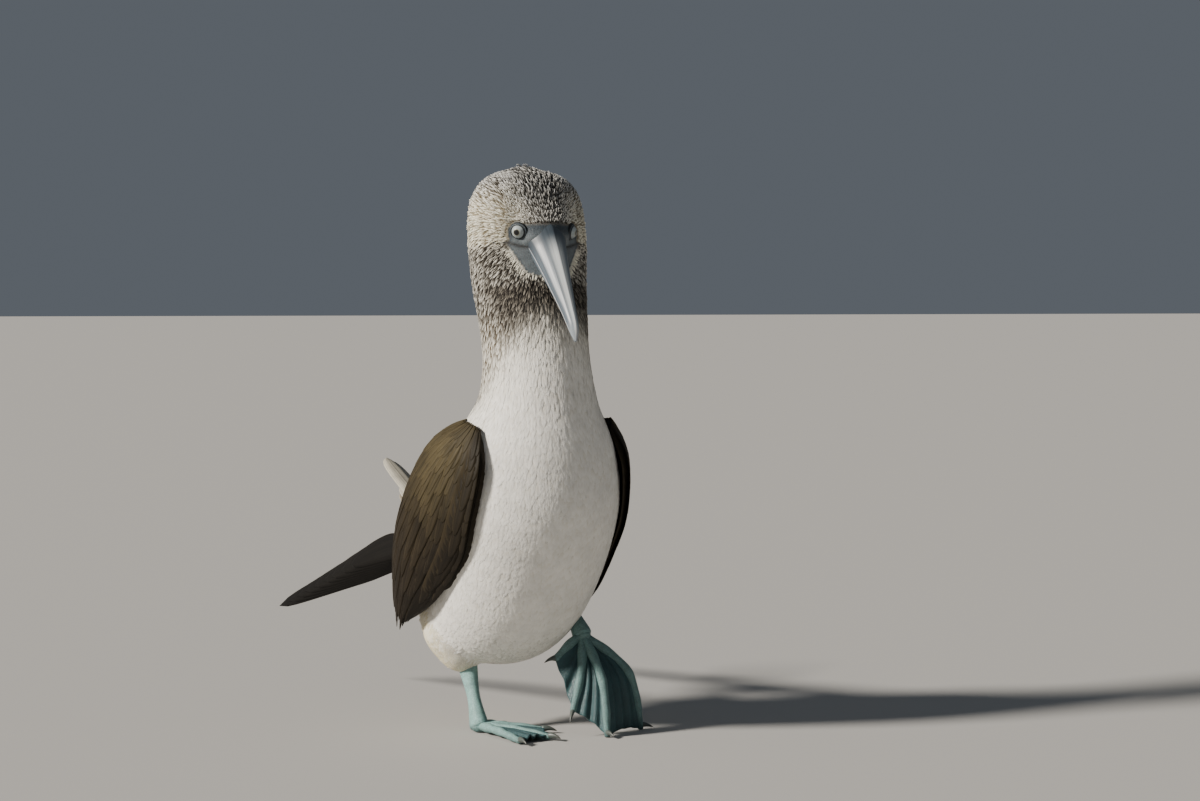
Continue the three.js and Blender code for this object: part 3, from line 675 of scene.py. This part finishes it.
def coatPiece(name, look):
    # one tuft in each cube of the region's spacing, and smaller ones closer together beside the
    # bare face
    x, y, z = samplePoints.T
    near = np.flatnonzero((z >= look["low"]) & (z < look["high"]) & (sampleBare < 0.5))
    beside = (np.abs(np.abs(x) - bareReach(z)) < 7) & (y < 0) & (z > 350)
    beside = near[beside[near]]
    chosen = np.union1d(near[spaced(samplePoints[near], look["spacing"])],
                        beside[spaced(samplePoints[beside], 0.62 * look["spacing"])])
    points, normals = samplePoints[chosen], sampleNormals[chosen]
    count = len(chosen)

    def vary(amount):
        # 1, more or less by up to that amount
        return 1 + amount * draws.uniform(-1, 1, count)

    tuft = {key: np.interp(points[:, 2], tuftHeights, values) for key, values in tuftLook.items()}
    along, up, across = billPlace(points)
    fromFace = rise(np.hypot(along - 2, np.hypot(up, across)), 16, 52)
    small = np.where(points[:, 2] > 340, 0.5 + 0.5 * fromFace, 1.0)
    small = small * np.where(np.isin(chosen, beside), 0.7, 1)
    ways = lieOf(points, normals, sampleTangent[chosen])
    root, tip, turnAt, streaked = markings(points, normals, sampleShare[chosen])
    plain = draws.random(count)[:, None] > streaked[:, None] * 1.15
    root = np.where(plain, np.maximum(root, plumageTints["whiteRoot"] * 0.97), root)
    spread = 0.03 + 0.1 * streaked + 0.25 * streaked * rise(points[:, 2], 395, 420)
    shade = (1 + spread * draws.uniform(-1, 0.7, count))[:, None]
    length = tuft["length"] * vary(0.22) * small
    lift = tuft["lift"] * vary(tuft["loose"])
    above = tuft["above"] * vary(tuft["loose"])  # how far above the skin the tip ends
    curl = lift - (skinDrop(normals, points + ways * length[:, None], 6.0) + above) / length
    size = (length, tuft["width"] * vary(0.2) * (0.7 + 0.3 * small), lift, curl, tuft["thick"] * vary(0.2))
    tints = (root * shade, np.clip(tip * shade, 0, 0.95), turnAt * vary(0.18))
    material = downyWhite if look["slot"] == "white_plumage" else streakedCoat
    sunk = points - normals * 0.35
    piece = tufts(name, sunk, ways, normals, size, tints, sampleSpots[chosen], material)
    print(name, count, "tufts")
    return settle(piece, look["slot"])


for regionName, regionLook in coatRegions.items():
    coatPiece(regionName, regionLook)
skin.data.materials.append(skinMaterial("softBareSkin", 0.55, 1.4, 0.25, 5.0, 0.72))
settle(skin, "white_plumage", "torso", "neck", "head", "thigh_left", "thigh_right")


# Wings: the sheet of a folded wing between its front edge, its bulge and its back edge,
# from the wrist (s = 0) to the rear tips (s = 1); q goes from the front edge to the back edge

wingCurves = [
    [(55, -30, 238), (60, -42, 212), (64, -32, 173), (63, -12, 141), (67, 24, 110), (71, 60, 92),
     (72, 78, 84)],
    [(60, -12, 244), (74, 18, 224), (83, 44, 190), (85, 64, 155), (81, 80, 118), (76, 90, 86)],
    [(42, 16, 246), (34, 50, 232), (27, 71, 212), (25, 83, 188), (28, 98, 167), (38, 114, 152),
     (52, 126, 139)],
]


def evenCurve(knots):
    # 241 points at equal distances along the curve through the knots, and its length
    line = through(knots, np.linspace(0, 1, 1201))
    walked = np.append(0, np.cumsum(np.linalg.norm(np.diff(line, axis=0), axis=1)))
    even = np.linspace(0, walked[-1], 241)
    return np.column_stack([np.interp(even, walked, line[:, k]) for k in range(3)]), walked[-1]


wingLines = [evenCurve(knots) for knots in wingCurves]


def wingSheet(s, q):
    # blend of the three curves by 2 (q - .5)(q - 1), 4 q (1 - q), 2 q (q - .5), and straight on
    # past both ends
    point = 0
    weights = (2 * (q - 0.5) * (q - 1), 4 * q * (1 - q), 2 * q * (q - 0.5))
    for (line, length), share in zip(wingLines, weights):
        spot = np.clip(s, 0, 1) * 240
        inside = np.stack([np.interp(spot, np.arange(241), line[:, k]) for k in range(3)], -1)
        onward = np.where((s < 0)[..., None], unit(line[3] - line[0]), unit(line[-1] - line[-4]))
        beyond = (s - np.clip(s, 0, 1))[..., None] * length * onward
        point = point + share[..., None] * (inside + beyond)
    return point


def wingOut(s, q):
    # unit normal of the sheet, away from the body
    small = 0.01
    along = wingSheet(s + small, q) - wingSheet(s - small, q)
    across = wingSheet(s, q + small) - wingSheet(s, q - small)
    return unit(np.cross(along, across))


wingSizes = {"coreEnd": 0.93, "coreThick": 8.0, "cup": 0.3, "rise": 0.45, "thickness": 0.25,
             "wrist": {"left": 0.042, "right": 0.02}}
leadingRow = {"count": 34, "until": 0.62, "reach": 0.13, "middle": 0.035, "half": 0.05}
wingTints = tintTable(olive=0x4B422C, brown=0x2A2318, dark=0x211B14, edge=0x1B160F, primary=0x0B0907)
# each row: how many feathers, where along the wing their roots and tips lie, and how blunt they are
wingRows = [
    (26, -0.01, 0.12, 2.0), (27, 0.03, 0.18, 2.0), (28, 0.06, 0.24, 1.8), (29, 0.12, 0.32, 1.8),
    (30, 0.18, 0.40, 1.7), (30, 0.24, 0.49, 1.7), (30, 0.30, 0.58, 1.7), (29, 0.37, 0.67, 1.7),
    (28, 0.44, 0.76, 1.8), (25, 0.51, 0.85, 2.0), (22, 0.57, 0.93, 2.2), (18, 0.63, 0.98, 2.6),
]
vaneAlong = np.array([0, 0.15, 0.32, 0.5, 0.66, 0.79, 0.89, 0.96, 0.995])
vaneAcross = np.linspace(-1, 1, 5)


def spearWidth(v, power):
    # narrow at the root, full by a third, pointed at the tip: (.6 + .4 min(1, 3v)) (1 - v^power)^.5
    return (0.6 + 0.4 * np.minimum(1, 3 * v)) * np.sqrt(np.clip(1 - v ** power, 0.0004, 1))


def vaneWidth(v, blunt):
    # the same with a round tip: (.6 + .4 min(1, 3v)) (1 - v^(2 blunt))^.6
    return (0.6 + 0.4 * np.minimum(1, 3 * v)) * (1 - v ** (2 * blunt)) ** 0.6


def wristBulge(q, wrist):
    # how far the folded wrist rounds out before the curves begin, over the front half
    return wrist * np.sin(np.pi * np.clip(q / 0.6, 0, 1))


def coreHeight(s):
    # half the flesh's thickness, rounded at the wrist and thinning to the rear end:
    # thick / 2 ((s + .04) / .11)^.5 (1 - s / end)^.5
    top = np.sqrt(np.clip((s + 0.04) / 0.11, 0, 1))
    return 0.5 * wingSizes["coreThick"] * top * np.sqrt(np.clip(1 - s / wingSizes["coreEnd"], 0, 1))


def wingRowGrids(row, level, wrist):
    # each feather's points: sheet(s, q) + out (core + level + rise v + order - cup u^2 (1 - v / 2)),
    # where order lays each feather's one edge over its neighbour
    count, start, end, blunt = row
    v, u = np.meshgrid(vaneAlong, vaneAcross, indexing="ij")
    index = np.arange(count)[:, None, None]
    middle = (index + 0.5) / count + draws.uniform(-0.01, 0.01, index.shape)
    reach = (end - start) * draws.uniform(0.82, 1.1, index.shape)
    s = start - wristBulge(middle, wrist) * (start < 0.02) + reach * v
    q = np.clip(middle + 0.86 / count * vaneWidth(v, blunt) * u, 0.0, 1.0)
    order = 0.25 * ((index % 2) - 0.5) - 0.25 * u * (1 - v)
    height = coreHeight(s) + level + wingSizes["rise"] * v + order
    height = height - wingSizes["cup"] * u * u * (1 - 0.5 * v)
    return wingSheet(s, q) + wingOut(s, q) * height[..., None], middle[:, 0, 0], s.mean(axis=(1, 2))


def leadingGrids(wrist):
    # small feathers one behind another along the front edge, wrapped round it:
    # out (core min(1, 10 q) + .6 + .8 v - 2.6 u^2 where u < 0)
    row = leadingRow
    v, u = np.meshgrid(vaneAlong, vaneAcross, indexing="ij")
    index = np.arange(row["count"])[:, None, None]
    start = row["until"] * index / row["count"] - 0.5 * wrist
    s = start + row["reach"] * v * draws.uniform(0.85, 1.15, index.shape)
    q = row["middle"] + 0.02 * (index % 2) + row["half"] * vaneWidth(v, 2.2) * u
    height = coreHeight(s) * np.clip(q / 0.1, 0, 1) + 0.6 + 0.8 * v - 2.6 * u * u * (u < 0)
    return wingSheet(s, q) + wingOut(s, np.clip(q, 0.02, 1)) * height[..., None], start[:, 0, 0]


def wingColours(q, s):
    # olive above, darker below and towards the front edge, each feather a little its own
    front = np.maximum(rise(-q, -0.24, -0.05), 0.4 * rise(-s, -0.08, -0.02) * (q < 0.5))
    shade = layered(wingTints, "olive", brown=rise(s, 0.12, 0.5), dark=rise(s, 0.5, 0.9), edge=0.85 * front)
    return shade * draws.uniform(0.82, 1.15, len(q))[:, None]


primaryLook = {"root": (74, 44, 143), "tip": (79, 350, 71), "count": 9, "out": 1.0, "up": 1.1,
               "shorter": 0.075, "width": 22, "arch": 3}


def primaryGrids():
    # the long primaries, stacked: line(v) = root + v (tip - root) + arch 4 v (1 - v) up,
    # pointed, each next one shorter and further up and out
    look = primaryLook
    v, u = np.meshgrid(np.linspace(0, 1, 17), np.linspace(-1, 1, 5), indexing="ij")
    arch = (look["arch"] * 4 * v * (1 - v))[..., None] * [0, 0, 1]
    half = look["width"] / 2 * spearWidth(v, 2.2)
    across = (half * u)[..., None] * np.array([0, 0.25, 0.97])
    bend = (0.7 * (1 - u * u) - 0.4 * u)[..., None] * sideways
    grids = []
    for i in range(look["count"]):
        root = np.array(look["root"]) + np.array([look["out"] * i, 0, look["up"] * i])
        span = np.array(look["tip"]) - np.array(look["root"])
        reach = 1 - look["shorter"] * i + draws.uniform(-0.01, 0.01)
        grids.append(root + v[..., None] * span * reach + arch + across + bend)
    return grids


def makeWing(end, side):
    # the flesh: the sheet's two faces, out by the core's height and in by .6 of it, closed all round
    v, u = shares(36, 22)
    wrist = wingSizes["wrist"][end]
    s = v * wingSizes["coreEnd"] - wristBulge(u, wrist) * (1 - v)
    thick = np.maximum(coreHeight(s), 0.3) * np.sqrt(np.clip(4 * u * (1 - u), 0, 1))
    out = wingOut(s, u) * thick[..., None]
    sheet = wingSheet(s, u)
    shell = np.concatenate([sheet + out, (sheet - 0.6 * out)[:, ::-1]], axis=1)
    shell = np.concatenate([shell, shell[:, :1]], axis=1)
    first, last = (sheet[k, :1][None].repeat(shell.shape[1], 1) for k in (0, -1))
    shell = np.concatenate([first, shell, last])
    core = gridPiece("wing_flesh_" + end, shell, wingPrimaries, plainTint(wingTints["dark"], shell), side)
    settle(core, "wing_feathers")
    grids, colours = [], []
    for level, row in enumerate(wingRows):
        points, q, share = wingRowGrids(row, 0.3 - 0.04 * level, wrist)
        grids.extend(points)
        colours.extend(wingColours(q, share))
    edge, place = leadingGrids(wrist)
    grids.extend(edge)
    colours.extend(wingColours(np.zeros(len(edge)), place))
    coverts = vanes("wing_coverts_" + end, grids, colours, wingCoverts, wingSizes["thickness"], side)
    settle(coverts, "wing_feathers", "wing_" + end)
    primaries = primaryGrids()
    shades = [wingTints["primary"] * (1 + 0.06 * i) for i in range(len(primaries))]
    settle(vanes("wing_primaries_" + end, primaries, shades, wingPrimaries, 0.4, side), "wing_feathers")


wingCoverts = flightMaterial("bronzeBrownCoverts", 0x4A3F2A, 0.25, 260.0, 0.2, 0.55)
wingPrimaries = flightMaterial("blackishFlightVanes", 0x1F1A15, 0.3, 1300.0, 0.05, 0.75)
for wingEnd, wingSide in halves.items():
    makeWing(wingEnd, wingSide)
print("wings made")


# Tail: a wedge of pointed feathers cocked up between the wings, the middle pair palest

tailLook = {"root": (0, 106, 119), "tip": (0, 295, 200), "pairs": 7, "width": 18, "apart": 1.6, "fan": 0.9}
# middle is the pale middle pair greyed: partly their own colour, partly painted shade from the body
tailTints = tintTable(middle=0xA5A092, outer=0x5C4E3C)
tailRootStations = np.array([
    (0, 96, 112, 0, 0), (0, 112, 119, 22, 14), (0, 140, 132, 24, 9), (0, 172, 146, 22, 4.5),
    (0, 192, 155, 0, 0),
], float)


def makeTail():
    # each vane: start + v reach line + half u across + (1.4 (1 - u^2) - 1.2 v^2) above
    look = tailLook
    root, tip = np.array(look["root"], float), np.array(look["tip"], float)
    length = np.linalg.norm(tip - root)
    way = (tip - root) / length
    above = np.cross(sideways, way)
    v, u = np.meshgrid(np.sin(np.linspace(0, np.pi / 2, 15)), np.linspace(-1, 1, 5), indexing="ij")
    grids, colours = [], []
    for i in range(look["pairs"]):
        for side in (1, -1):
            start = root + above * (1.5 - 1.3 * i - 0.35 * side)
            start = start + sideways * side * (0.5 + look["apart"] * i)
            turn = math.radians(0.15 + look["fan"] * i) * side
            line = way * math.cos(turn) + sideways * math.sin(turn)
            reach = length * ((0.82 - 0.06 * i if i else 1 - 0.01 * side) + draws.uniform(-0.01, 0.01))
            half = (look["width"] - i) / 2 * spearWidth(v, 14)
            cup = (1.4 * (1 - u * u) - 1.2 * v * v)[..., None] * above
            grids.append(start + v[..., None] * reach * line + (half * u)[..., None] * sideways + cup)
            colours.append(mix(tailTints["middle"], tailTints["outer"], rise(i, 0.5, 2.5)))
    material = flightMaterial("paleTailVanes", 0xBAB5A7, 0.5, 900.0, 0.1, 0.6)
    settle(vanes("tail_feathers", grids, colours, material, 0.4), "tail_feathers", "tail")
    shell = stationSkin(tailRootStations, 33, 33, 0)
    settle(gridPiece("tail_root", shell, downyWhite, plainTint(plumageTints["white"], shell)), "white_plumage")


makeTail()


# Bill: two horny sheaths that meet at the mouth line

billLook = {"rows": 72, "mouthLevel": -5.0, "mouthRise": 0.035, "gap": 0.22, "groove": 0.5,
            "ridge": 0.1, "keel": 1.45}
# root is painted shade and ridge is painted light; side, tip and lower are the sheath's own colours
billTints = tintTable(side=0x5C666F, ridge=0xD4D8D8, root=0x39424A, tip=0x9AA2A8, lower=0x6C7883)


def billSheath(upper):
    # ring at share t: wide cos(a)^keel (1 - ridge sin^2 a) across + deep sin(a) up, over the mouth's
    # level for the upper sheath and under it for the lower, each closed along that level; the
    # upper one has a groove along its side, and both bend down to a hook
    look = billLook
    t = np.linspace(0, 1, look["rows"])
    centre, sizes = stationFrame(billStations, t)[:2]
    along, up, _ = billPlace(centre)
    wide, tall = sizes[:, :1], np.maximum(sizes[:, 1:], 1e-3)
    level = look["mouthLevel"] + look["mouthRise"] * along + (look["gap"] if upper else -look["gap"])
    start = np.arcsin(np.clip((level - up)[:, None] / tall, -0.98, 0.98))
    k = np.linspace(0, 1, 41)[None]
    angle = start + (np.pi - 2 * start) * k if upper else start - (np.pi + 2 * start) * k
    keel = np.abs(np.cos(angle)) ** (look["keel"] if upper else 1) * np.sign(np.cos(angle))
    x = wide * keel * (1 - look["ridge"] * np.clip(np.sin(angle), 0, 1) ** 2)
    groove = look["groove"] * np.exp(-(((np.sin(angle) - 0.42) / 0.13) ** 2))
    groove = groove * rise(-along[:, None], -80, -55) * upper
    y = (tall - groove) * np.sin(angle)
    hook = (1.6 if upper else 0.96) * rise(along, 84, culmen)[:, None]
    rim = np.stack([x[:, -1:] * f + x[:, :1] * (1 - f) for f in (0.75, 0.5, 0.25, 0.0)], 1)[..., 0]
    floor = np.repeat(y[:, :1], 4, axis=1)
    x, y = np.concatenate([x, rim], axis=1), np.concatenate([y, floor], axis=1) - hook
    grid = centre[:, None] + x[..., None] * sideways + y[..., None] * billUp
    if not upper:
        grid = grid[t < 0.975]
        grid[-1] = grid[-1].mean(axis=0)
    return grid


def billColours(grid, upper):
    # the sheath's own slate along the side, paler at the tip; the dark root is painted shade under the
    # forehead's feathers, and the pale band along the ridge on top is painted light
    along, up, side = billPlace(grid.reshape(-1, 3))
    shade = layered(billTints, "root", side=rise(along, 2, 30), tip=rise(along, 80, 96))
    if not upper:
        return mix(shade, billTints["lower"], 0.5)
    wide = np.interp(along, billPlace(billStations[:, :3])[0], billStations[:, 3])
    # painted light: the top of the ridge is paler, as where the light falls on it
    ridge = rise(-np.abs(side) / np.maximum(wide, 0.5), -0.6, -0.15) * rise(up, -4, 2)
    return mix(shade, billTints["ridge"], ridge * rise(along, 8, 30))


billHorn = hornMaterial("slateBlueBillSheath", 0.36)
for billName, isUpper in (("bill_upper", True), ("bill_lower", False)):
    sheath = billSheath(isUpper)
    piece = gridPiece(billName + "_sheath", sheath, billHorn, billColours(sheath, isUpper))
    settle(piece, "bill", billName)
print("bill made")


# Eyes: a wet ball with its iris round the gaze, in a ring of bare lids

eyeTints = tintTable(pupil=0x08090B, iris=0xACB5B6, irisEdge=0x8E8B74, limbus=0x20282E, rim=0x12171B,
                     ring=0x1E2428, fold=0x4A545B)
# lids: a thin dark rim on the ball, a fleshy ring, and a fold that sinks into the face
lidProfile = [(5.05, 3.3), (5.1, 3.95), (5.25, 4.15), (5.5, 4.1), (5.75, 3.8), (6.05, 3.6), (6.4, 3.45),
              (6.75, 3.1), (7.0, 2.5), (7.15, 1.7), (7.25, 0.8), (7.2, -0.2), (6.4, -1.2), (5.3, 0.0),
              (5.05, 3.3)]
eyeCols = 65


def ringGrid(profile, squash):
    # a profile of (radius, height) turned round the gaze, its radius times 1 + squash cos 2a
    gaze = unit(np.array(eyeLook["gaze"], float))
    level = unit(np.cross([0, 0, 1.0], gaze))
    radius, height = np.array(profile, float).T[..., None, None]
    a = np.linspace(0, 2 * np.pi, eyeCols)[None, :, None]
    around = np.cos(a) * level + np.sin(a) * np.cross(gaze, level)
    return np.array(eyeLook["centre"]) + height * gaze + radius * (1 + squash * np.cos(2 * a)) * around


def makeEye(end, side):
    # the ball's radius bulges at the cornea: R - .25 + .55 exp(-(turn / .62)^4)
    turn = np.linspace(0, np.pi, 61)
    radius = eyeRadius - 0.25 + 0.55 * np.exp(-((turn / 0.62) ** 4))
    ball = ringGrid(np.column_stack([radius * np.sin(turn), radius * np.cos(turn)]), 0)
    away = np.repeat(eyeRadius * np.sin(turn) + 20 * (turn > np.pi / 2), eyeCols)
    pupil, iris = eyeLook["pupil"], eyeLook["iris"]
    tint = layered(eyeTints, "pupil", irisEdge=rise(away, pupil - 0.12, pupil + 0.1),
                   iris=rise(away, pupil + 0.1, pupil + 0.9), limbus=rise(away, iris - 0.35, iris + 0.1))
    settle(gridPiece("eyeball_" + end, ball, wetIris, tint, side), "eye", "eye_" + end)
    lid = through(lidProfile, np.linspace(0, 1, 57))
    inner = np.repeat(lid[:, 0], eyeCols)
    fold = rise(inner, 5.85, 6.15) * rise(-inner, -6.8, -6.45)
    shade = layered(eyeTints, "rim", ring=rise(inner, 5.4, 5.7), fold=fold, rim=0.8 * rise(inner, 6.7, 7.0))
    settle(gridPiece("lids_" + end, ringGrid(lid, 0.045), lidSkin, shade, side), "bill")


wetIris = eyeMaterial()
lidSkin = skinMaterial("wrinkledLidSkin", 0.5, 0.7, 0.15, 3.0, 0.75)
for eyeEnd, eyeSide in halves.items():
    makeEye(eyeEnd, eyeSide)
print("eyes made")


# Legs and feet

toeNames = ("hallux", "inner", "middle", "outer")
# the lifted foot lies in the body's shadow: its lit share below 1 paints that shade into its colour
footLook = {"right": {"joint": (-26, 40, 5.2), "ankle": (-26, 61, 47.5), "lit": 1.0},
            "left": {"joint": (50, 11, 76), "ankle": (45, 42, 112), "lit": 0.55}}
# the foot on the ground: each toe's length and its turn from the foot's line, in degrees
rightToes = {"hallux": (24, 78), "inner": (52, 29), "middle": (70, 0), "outer": (70, -25)}
rightSet = {"toedIn": 28, "tipHeight": 2.6, "arch": 1.4}
# the lifted foot: each toe's tip, how its middle is bowed, and how far its claw dips
leftToes = {"hallux": ((24, 7, 58), (0, -1, 2), 0.1), "inner": ((32, -9, 18), (1, -5, 3), 0.8),
            "middle": ((53, -28, -0.8), (3, -7, 5), 0.0), "outer": ((94, -5, -0.8), (10, -9, 9), 0.0)}
footTints = tintTable(lit=0x8BB1AD, web=0x3C5E61, deep=0x203538, claw=0x55605C, clawTip=0x34342F)
floorGap = 0.05


def tubeGrid(path, radius, cols, flat=1.0):
    # rings round the path: centre(t) + r(t) (cos(a) across + flat sin(a) deep), closed at both ends
    t = np.linspace(0, 1, len(radius))
    centre = through(path, t)
    tangent = unit(np.gradient(centre, axis=0))
    across = unit(sideways - tangent * tangent[:, :1])
    deep = np.cross(tangent, across)
    a = np.linspace(0, 2 * np.pi, cols)[None, :, None]
    around = np.cos(a) * across[:, None] + flat * np.sin(a) * deep[:, None]
    return centre[:, None] + radius[:, None, None] * around


def domed(t, size):
    # size(t) with both ends rounded to a point: times (1 - (2t - 1)^16)^.5
    return size * np.sqrt(np.clip(1 - (2 * t - 1) ** 16, 0, 1))


def toeGrid(line, length):
    # thicker at each of its joints: r = 3.9 (1.1 - .42 t) (1 + .09 cos(2 pi segments t))
    t = np.linspace(0, 1, 49)
    swell = 1 + 0.09 * np.cos(2 * np.pi * t * max(2, round(length / 20)))
    return tubeGrid(line, domed(t, 3.9 * (1.1 - 0.42 * t) * swell), 17, 0.92)


def webGrid(lineA, lineB, folds):
    # between two toes: blend of their lines by u, its free edge hollowed by 4 u (1 - u), with folds
    # that fan out from the joint: v sin(pi u) (1.7 sin(2 pi folds u + 2.2 v) - 1.6) out
    v, u = shares(37, 33)
    reach = 0.97 * v * (1 - 0.05 * 4 * u * (1 - u))
    a, b = through(lineA, reach), through(lineB, reach)
    point = a + (b - a) * u[..., None]
    normal = unit(np.cross(lineA[2] - lineA[0], lineB[2] - lineB[0]))
    wave = 1.7 * v * np.sin(2 * np.pi * folds * u + 2.2 * v) * np.sin(np.pi * u)
    sag = -1.6 * np.sin(np.pi * u) * v
    return point + (wave + sag)[..., None] * normal


def clawGrid(tip, way, drop):
    # a curved cone: tip + way reach, falling by drop t^2, radius 2.5 (1 - t)^.7 rounded at its root
    t = np.linspace(0, 1, 17)
    reach = -3 + 13 * t
    fall = 0.9 - drop * t * t + 0.9 * np.sin(np.pi * t)
    path = tip + reach[:, None] * way + np.array([0, 0, 1.0]) * fall[:, None]
    radius = 2.5 * np.clip(1 - t, 0, 1) ** 0.7 * np.sqrt(np.clip(t * 6, 0, 1))
    return tubeGrid(path, radius, 13, 1.15)


def lifted(grid):
    # nothing goes below the ground
    grid[..., 2] = np.maximum(grid[..., 2], floorGap)
    return grid


def footColours(grid, lit):
    # paler and greener on top, deeper towards the ground as painted shade near the floor, and deeper all over
    # where lit is below 1, as painted shadow of the body
    height = grid.reshape(-1, 3)[:, 2]
    return mix(footTints["deep"], footTints["lit"], lit * (0.35 + 0.65 * rise(height, 0, 9)))


def webColours(grid):
    # deeper along the sagging middle and towards the joint between the toes, as painted shade, with paler
    # veins that fan out
    v, u = shares(*grid.shape[:2])
    vein = 0.5 + 0.5 * np.cos(2 * np.pi * 5 * u + 3 * v)
    share = np.clip(0.25 + 0.5 * np.sin(np.pi * u) - 0.15 * vein, 0, 1) * (1 - 0.3 * v)
    return mix(footTints["web"], footTints["deep"], share.ravel())


def makeFoot(end, toes):
    # toes are tip, bow and claw's dip, from the hallux outwards
    joint, ankle = (np.array(footLook[end][key], float) for key in ("joint", "ankle"))
    lit = footLook[end]["lit"]
    lines = [np.array([joint, (joint + tip) / 2 + bow, tip]) for tip, bow, _ in toes]
    t = np.linspace(0, 1, 61)
    scutes = 1 + 0.012 * np.sin(2 * np.pi * 17 * t)
    span = ankle - joint
    shankPath = np.array([joint - span * 0.06, (joint + ankle) / 2, ankle + span * 0.1])
    shank = tubeGrid(shankPath, domed(t, (6.3 + 1.3 * np.cos(2 * np.pi * t)) * scutes), 33, 1.22)
    tarsus = gridPiece("tarsus_" + end, shank, footSkin, footColours(shank, lit))
    settle(tarsus, "foot_skin", "shank_" + end)
    turn, a = np.meshgrid(np.linspace(0, np.pi, 25), np.linspace(0, 2 * np.pi, 33), indexing="ij")
    ball = np.stack([np.sin(turn) * np.cos(a), np.sin(turn) * np.sin(a), np.cos(turn)], -1)
    knuckle = joint + 6.8 * ball * [1, 1.05, 0.82]
    grids = [toeGrid(line, np.linalg.norm(line[2] - line[0])) for line in lines] + [knuckle]
    grids = [lifted(grid) for grid in grids]
    colours = np.concatenate([footColours(grid, lit) for grid in grids])
    foot = gridPiece("toes_" + end, grids, footSkin, colours)
    settle(foot, "foot_skin", "foot_" + end)
    webs = [lifted(webGrid(lines[i], lines[i + 1], 2 + i)) for i in range(3)]
    web = gridPiece("webs_" + end, webs, webSkin, np.concatenate([webColours(grid) for grid in webs]))
    settle(thicken(web, 1.1), "foot_skin")
    claws = []
    for line, (_, _, dip) in zip(lines, toes):
        tip = line[2] * [1, 1, 0] + [0, 0, max(line[2][2], 2.3)]
        way = unit((tip - joint) * [1, 1, 0]) - np.array([0, 0, dip])
        claws.append(lifted(clawGrid(tip, unit(way), 1.6)))
    tint = mix(footTints["claw"], footTints["clawTip"], np.repeat(np.linspace(0, 1, 17), 13))
    settle(gridPiece("claws_" + end, claws, clawHorn, np.tile(tint, (len(claws), 1))), "foot_skin")


footSkin = skinMaterial("scalyBlueFootSkin", 0.52, 1.7, 0.4, 6.0, 0.68)
webSkin = skinMaterial("stretchedWebSkin", 0.5, 2.2, 0.22, 9.0, 0.8)
clawHorn = hornMaterial("darkClawHorn", 0.4)
rightJoint = np.array(footLook["right"]["joint"])
flatToes = []
for toe in toeNames:
    length, turned = rightToes[toe]
    angle = math.radians(rightSet["toedIn"] + turned)
    flat = np.array([math.sin(angle), -math.cos(angle), 0]) * length
    tip = (rightJoint + flat) * [1, 1, 0] + [0, 0, rightSet["tipHeight"]]
    flatToes.append((tip, np.array([0, 0, rightSet["arch"]]), 0.0))
makeFoot("right", flatToes)
makeFoot("left", [(np.array(tip, float), np.array(bow, float), dip) for tip, bow, dip in
                  (leftToes[toe] for toe in toeNames)])
print("legs and feet made")


# Floor, light and camera

def addLamp(name, kind, settings, turn, place=(0, 0, 0)):
    light = bpy.data.lights.new(name, kind)
    for key, value in settings.items():
        setattr(light, key, value)
    lamp = bpy.data.objects.new(name, light)
    lamp.location = place
    lamp.rotation_euler = turn.to_euler()
    bpy.context.scene.collection.objects.link(lamp)


def makeStudio():
    ground = np.array([(-1, -1, 0), (1, -1, 0), (1, 1, 0), (-1, 1, 0)]) * 6e4 - [0, 0, 0.2]
    paper = newMaterial("palePaperFloor", {"Base Color": (*linear(0xB4B2AE), 1), "Roughness": 0.9})[0]
    meshFrom("floor", ground, [np.array([(0, 1, 2, 3)])], paper)
    world = bpy.context.scene.world or bpy.data.worlds.new("studio")
    bpy.context.scene.world = world
    world.use_nodes = True
    sky = world.node_tree.nodes["Background"]
    sky.inputs["Color"].default_value = (*linear(0xCBD6E4), 1)
    sky.inputs["Strength"].default_value = 0.18
    # one low soft sun from the viewer's left, as in the photograph, and a weak lamp by the camera
    sun = {"energy": 6.7, "angle": math.radians(9), "color": linear(0xFFF8EE)}
    addLamp("key", "SUN", sun, Vector((-0.88, 0.03, 0.47)).to_track_quat("Z", "Y"))
    fill = {"shape": "SQUARE", "size": 1.6, "energy": 1.2, "color": linear(0xEAF1FF)}
    place, aim = Vector((-0.6, -2.4, 0.9)), Vector((0.03, -0.02, 0.24))
    addLamp("fill", "AREA", fill, (aim - place).to_track_quat("-Z", "Y"), place)


def makeCamera():
    # the photograph's place: 25 degrees to the bird's right, about its neck's height
    data = bpy.data.cameras.new("camera")
    data.lens = 79.8
    data.sensor_width = 36
    camera = bpy.data.objects.new("camera", data)
    camera.location = (-0.844, -1.905, 0.338)
    turn, pitch = math.radians(26.51), math.radians(2.12)
    ahead = Vector((math.sin(turn) * math.cos(pitch), math.cos(turn) * math.cos(pitch), -math.sin(pitch)))
    camera.rotation_euler = ahead.to_track_quat("-Z", "Y").to_euler()
    bpy.context.scene.collection.objects.link(camera)
    bpy.context.scene.camera = camera


makeStudio()
makeCamera()
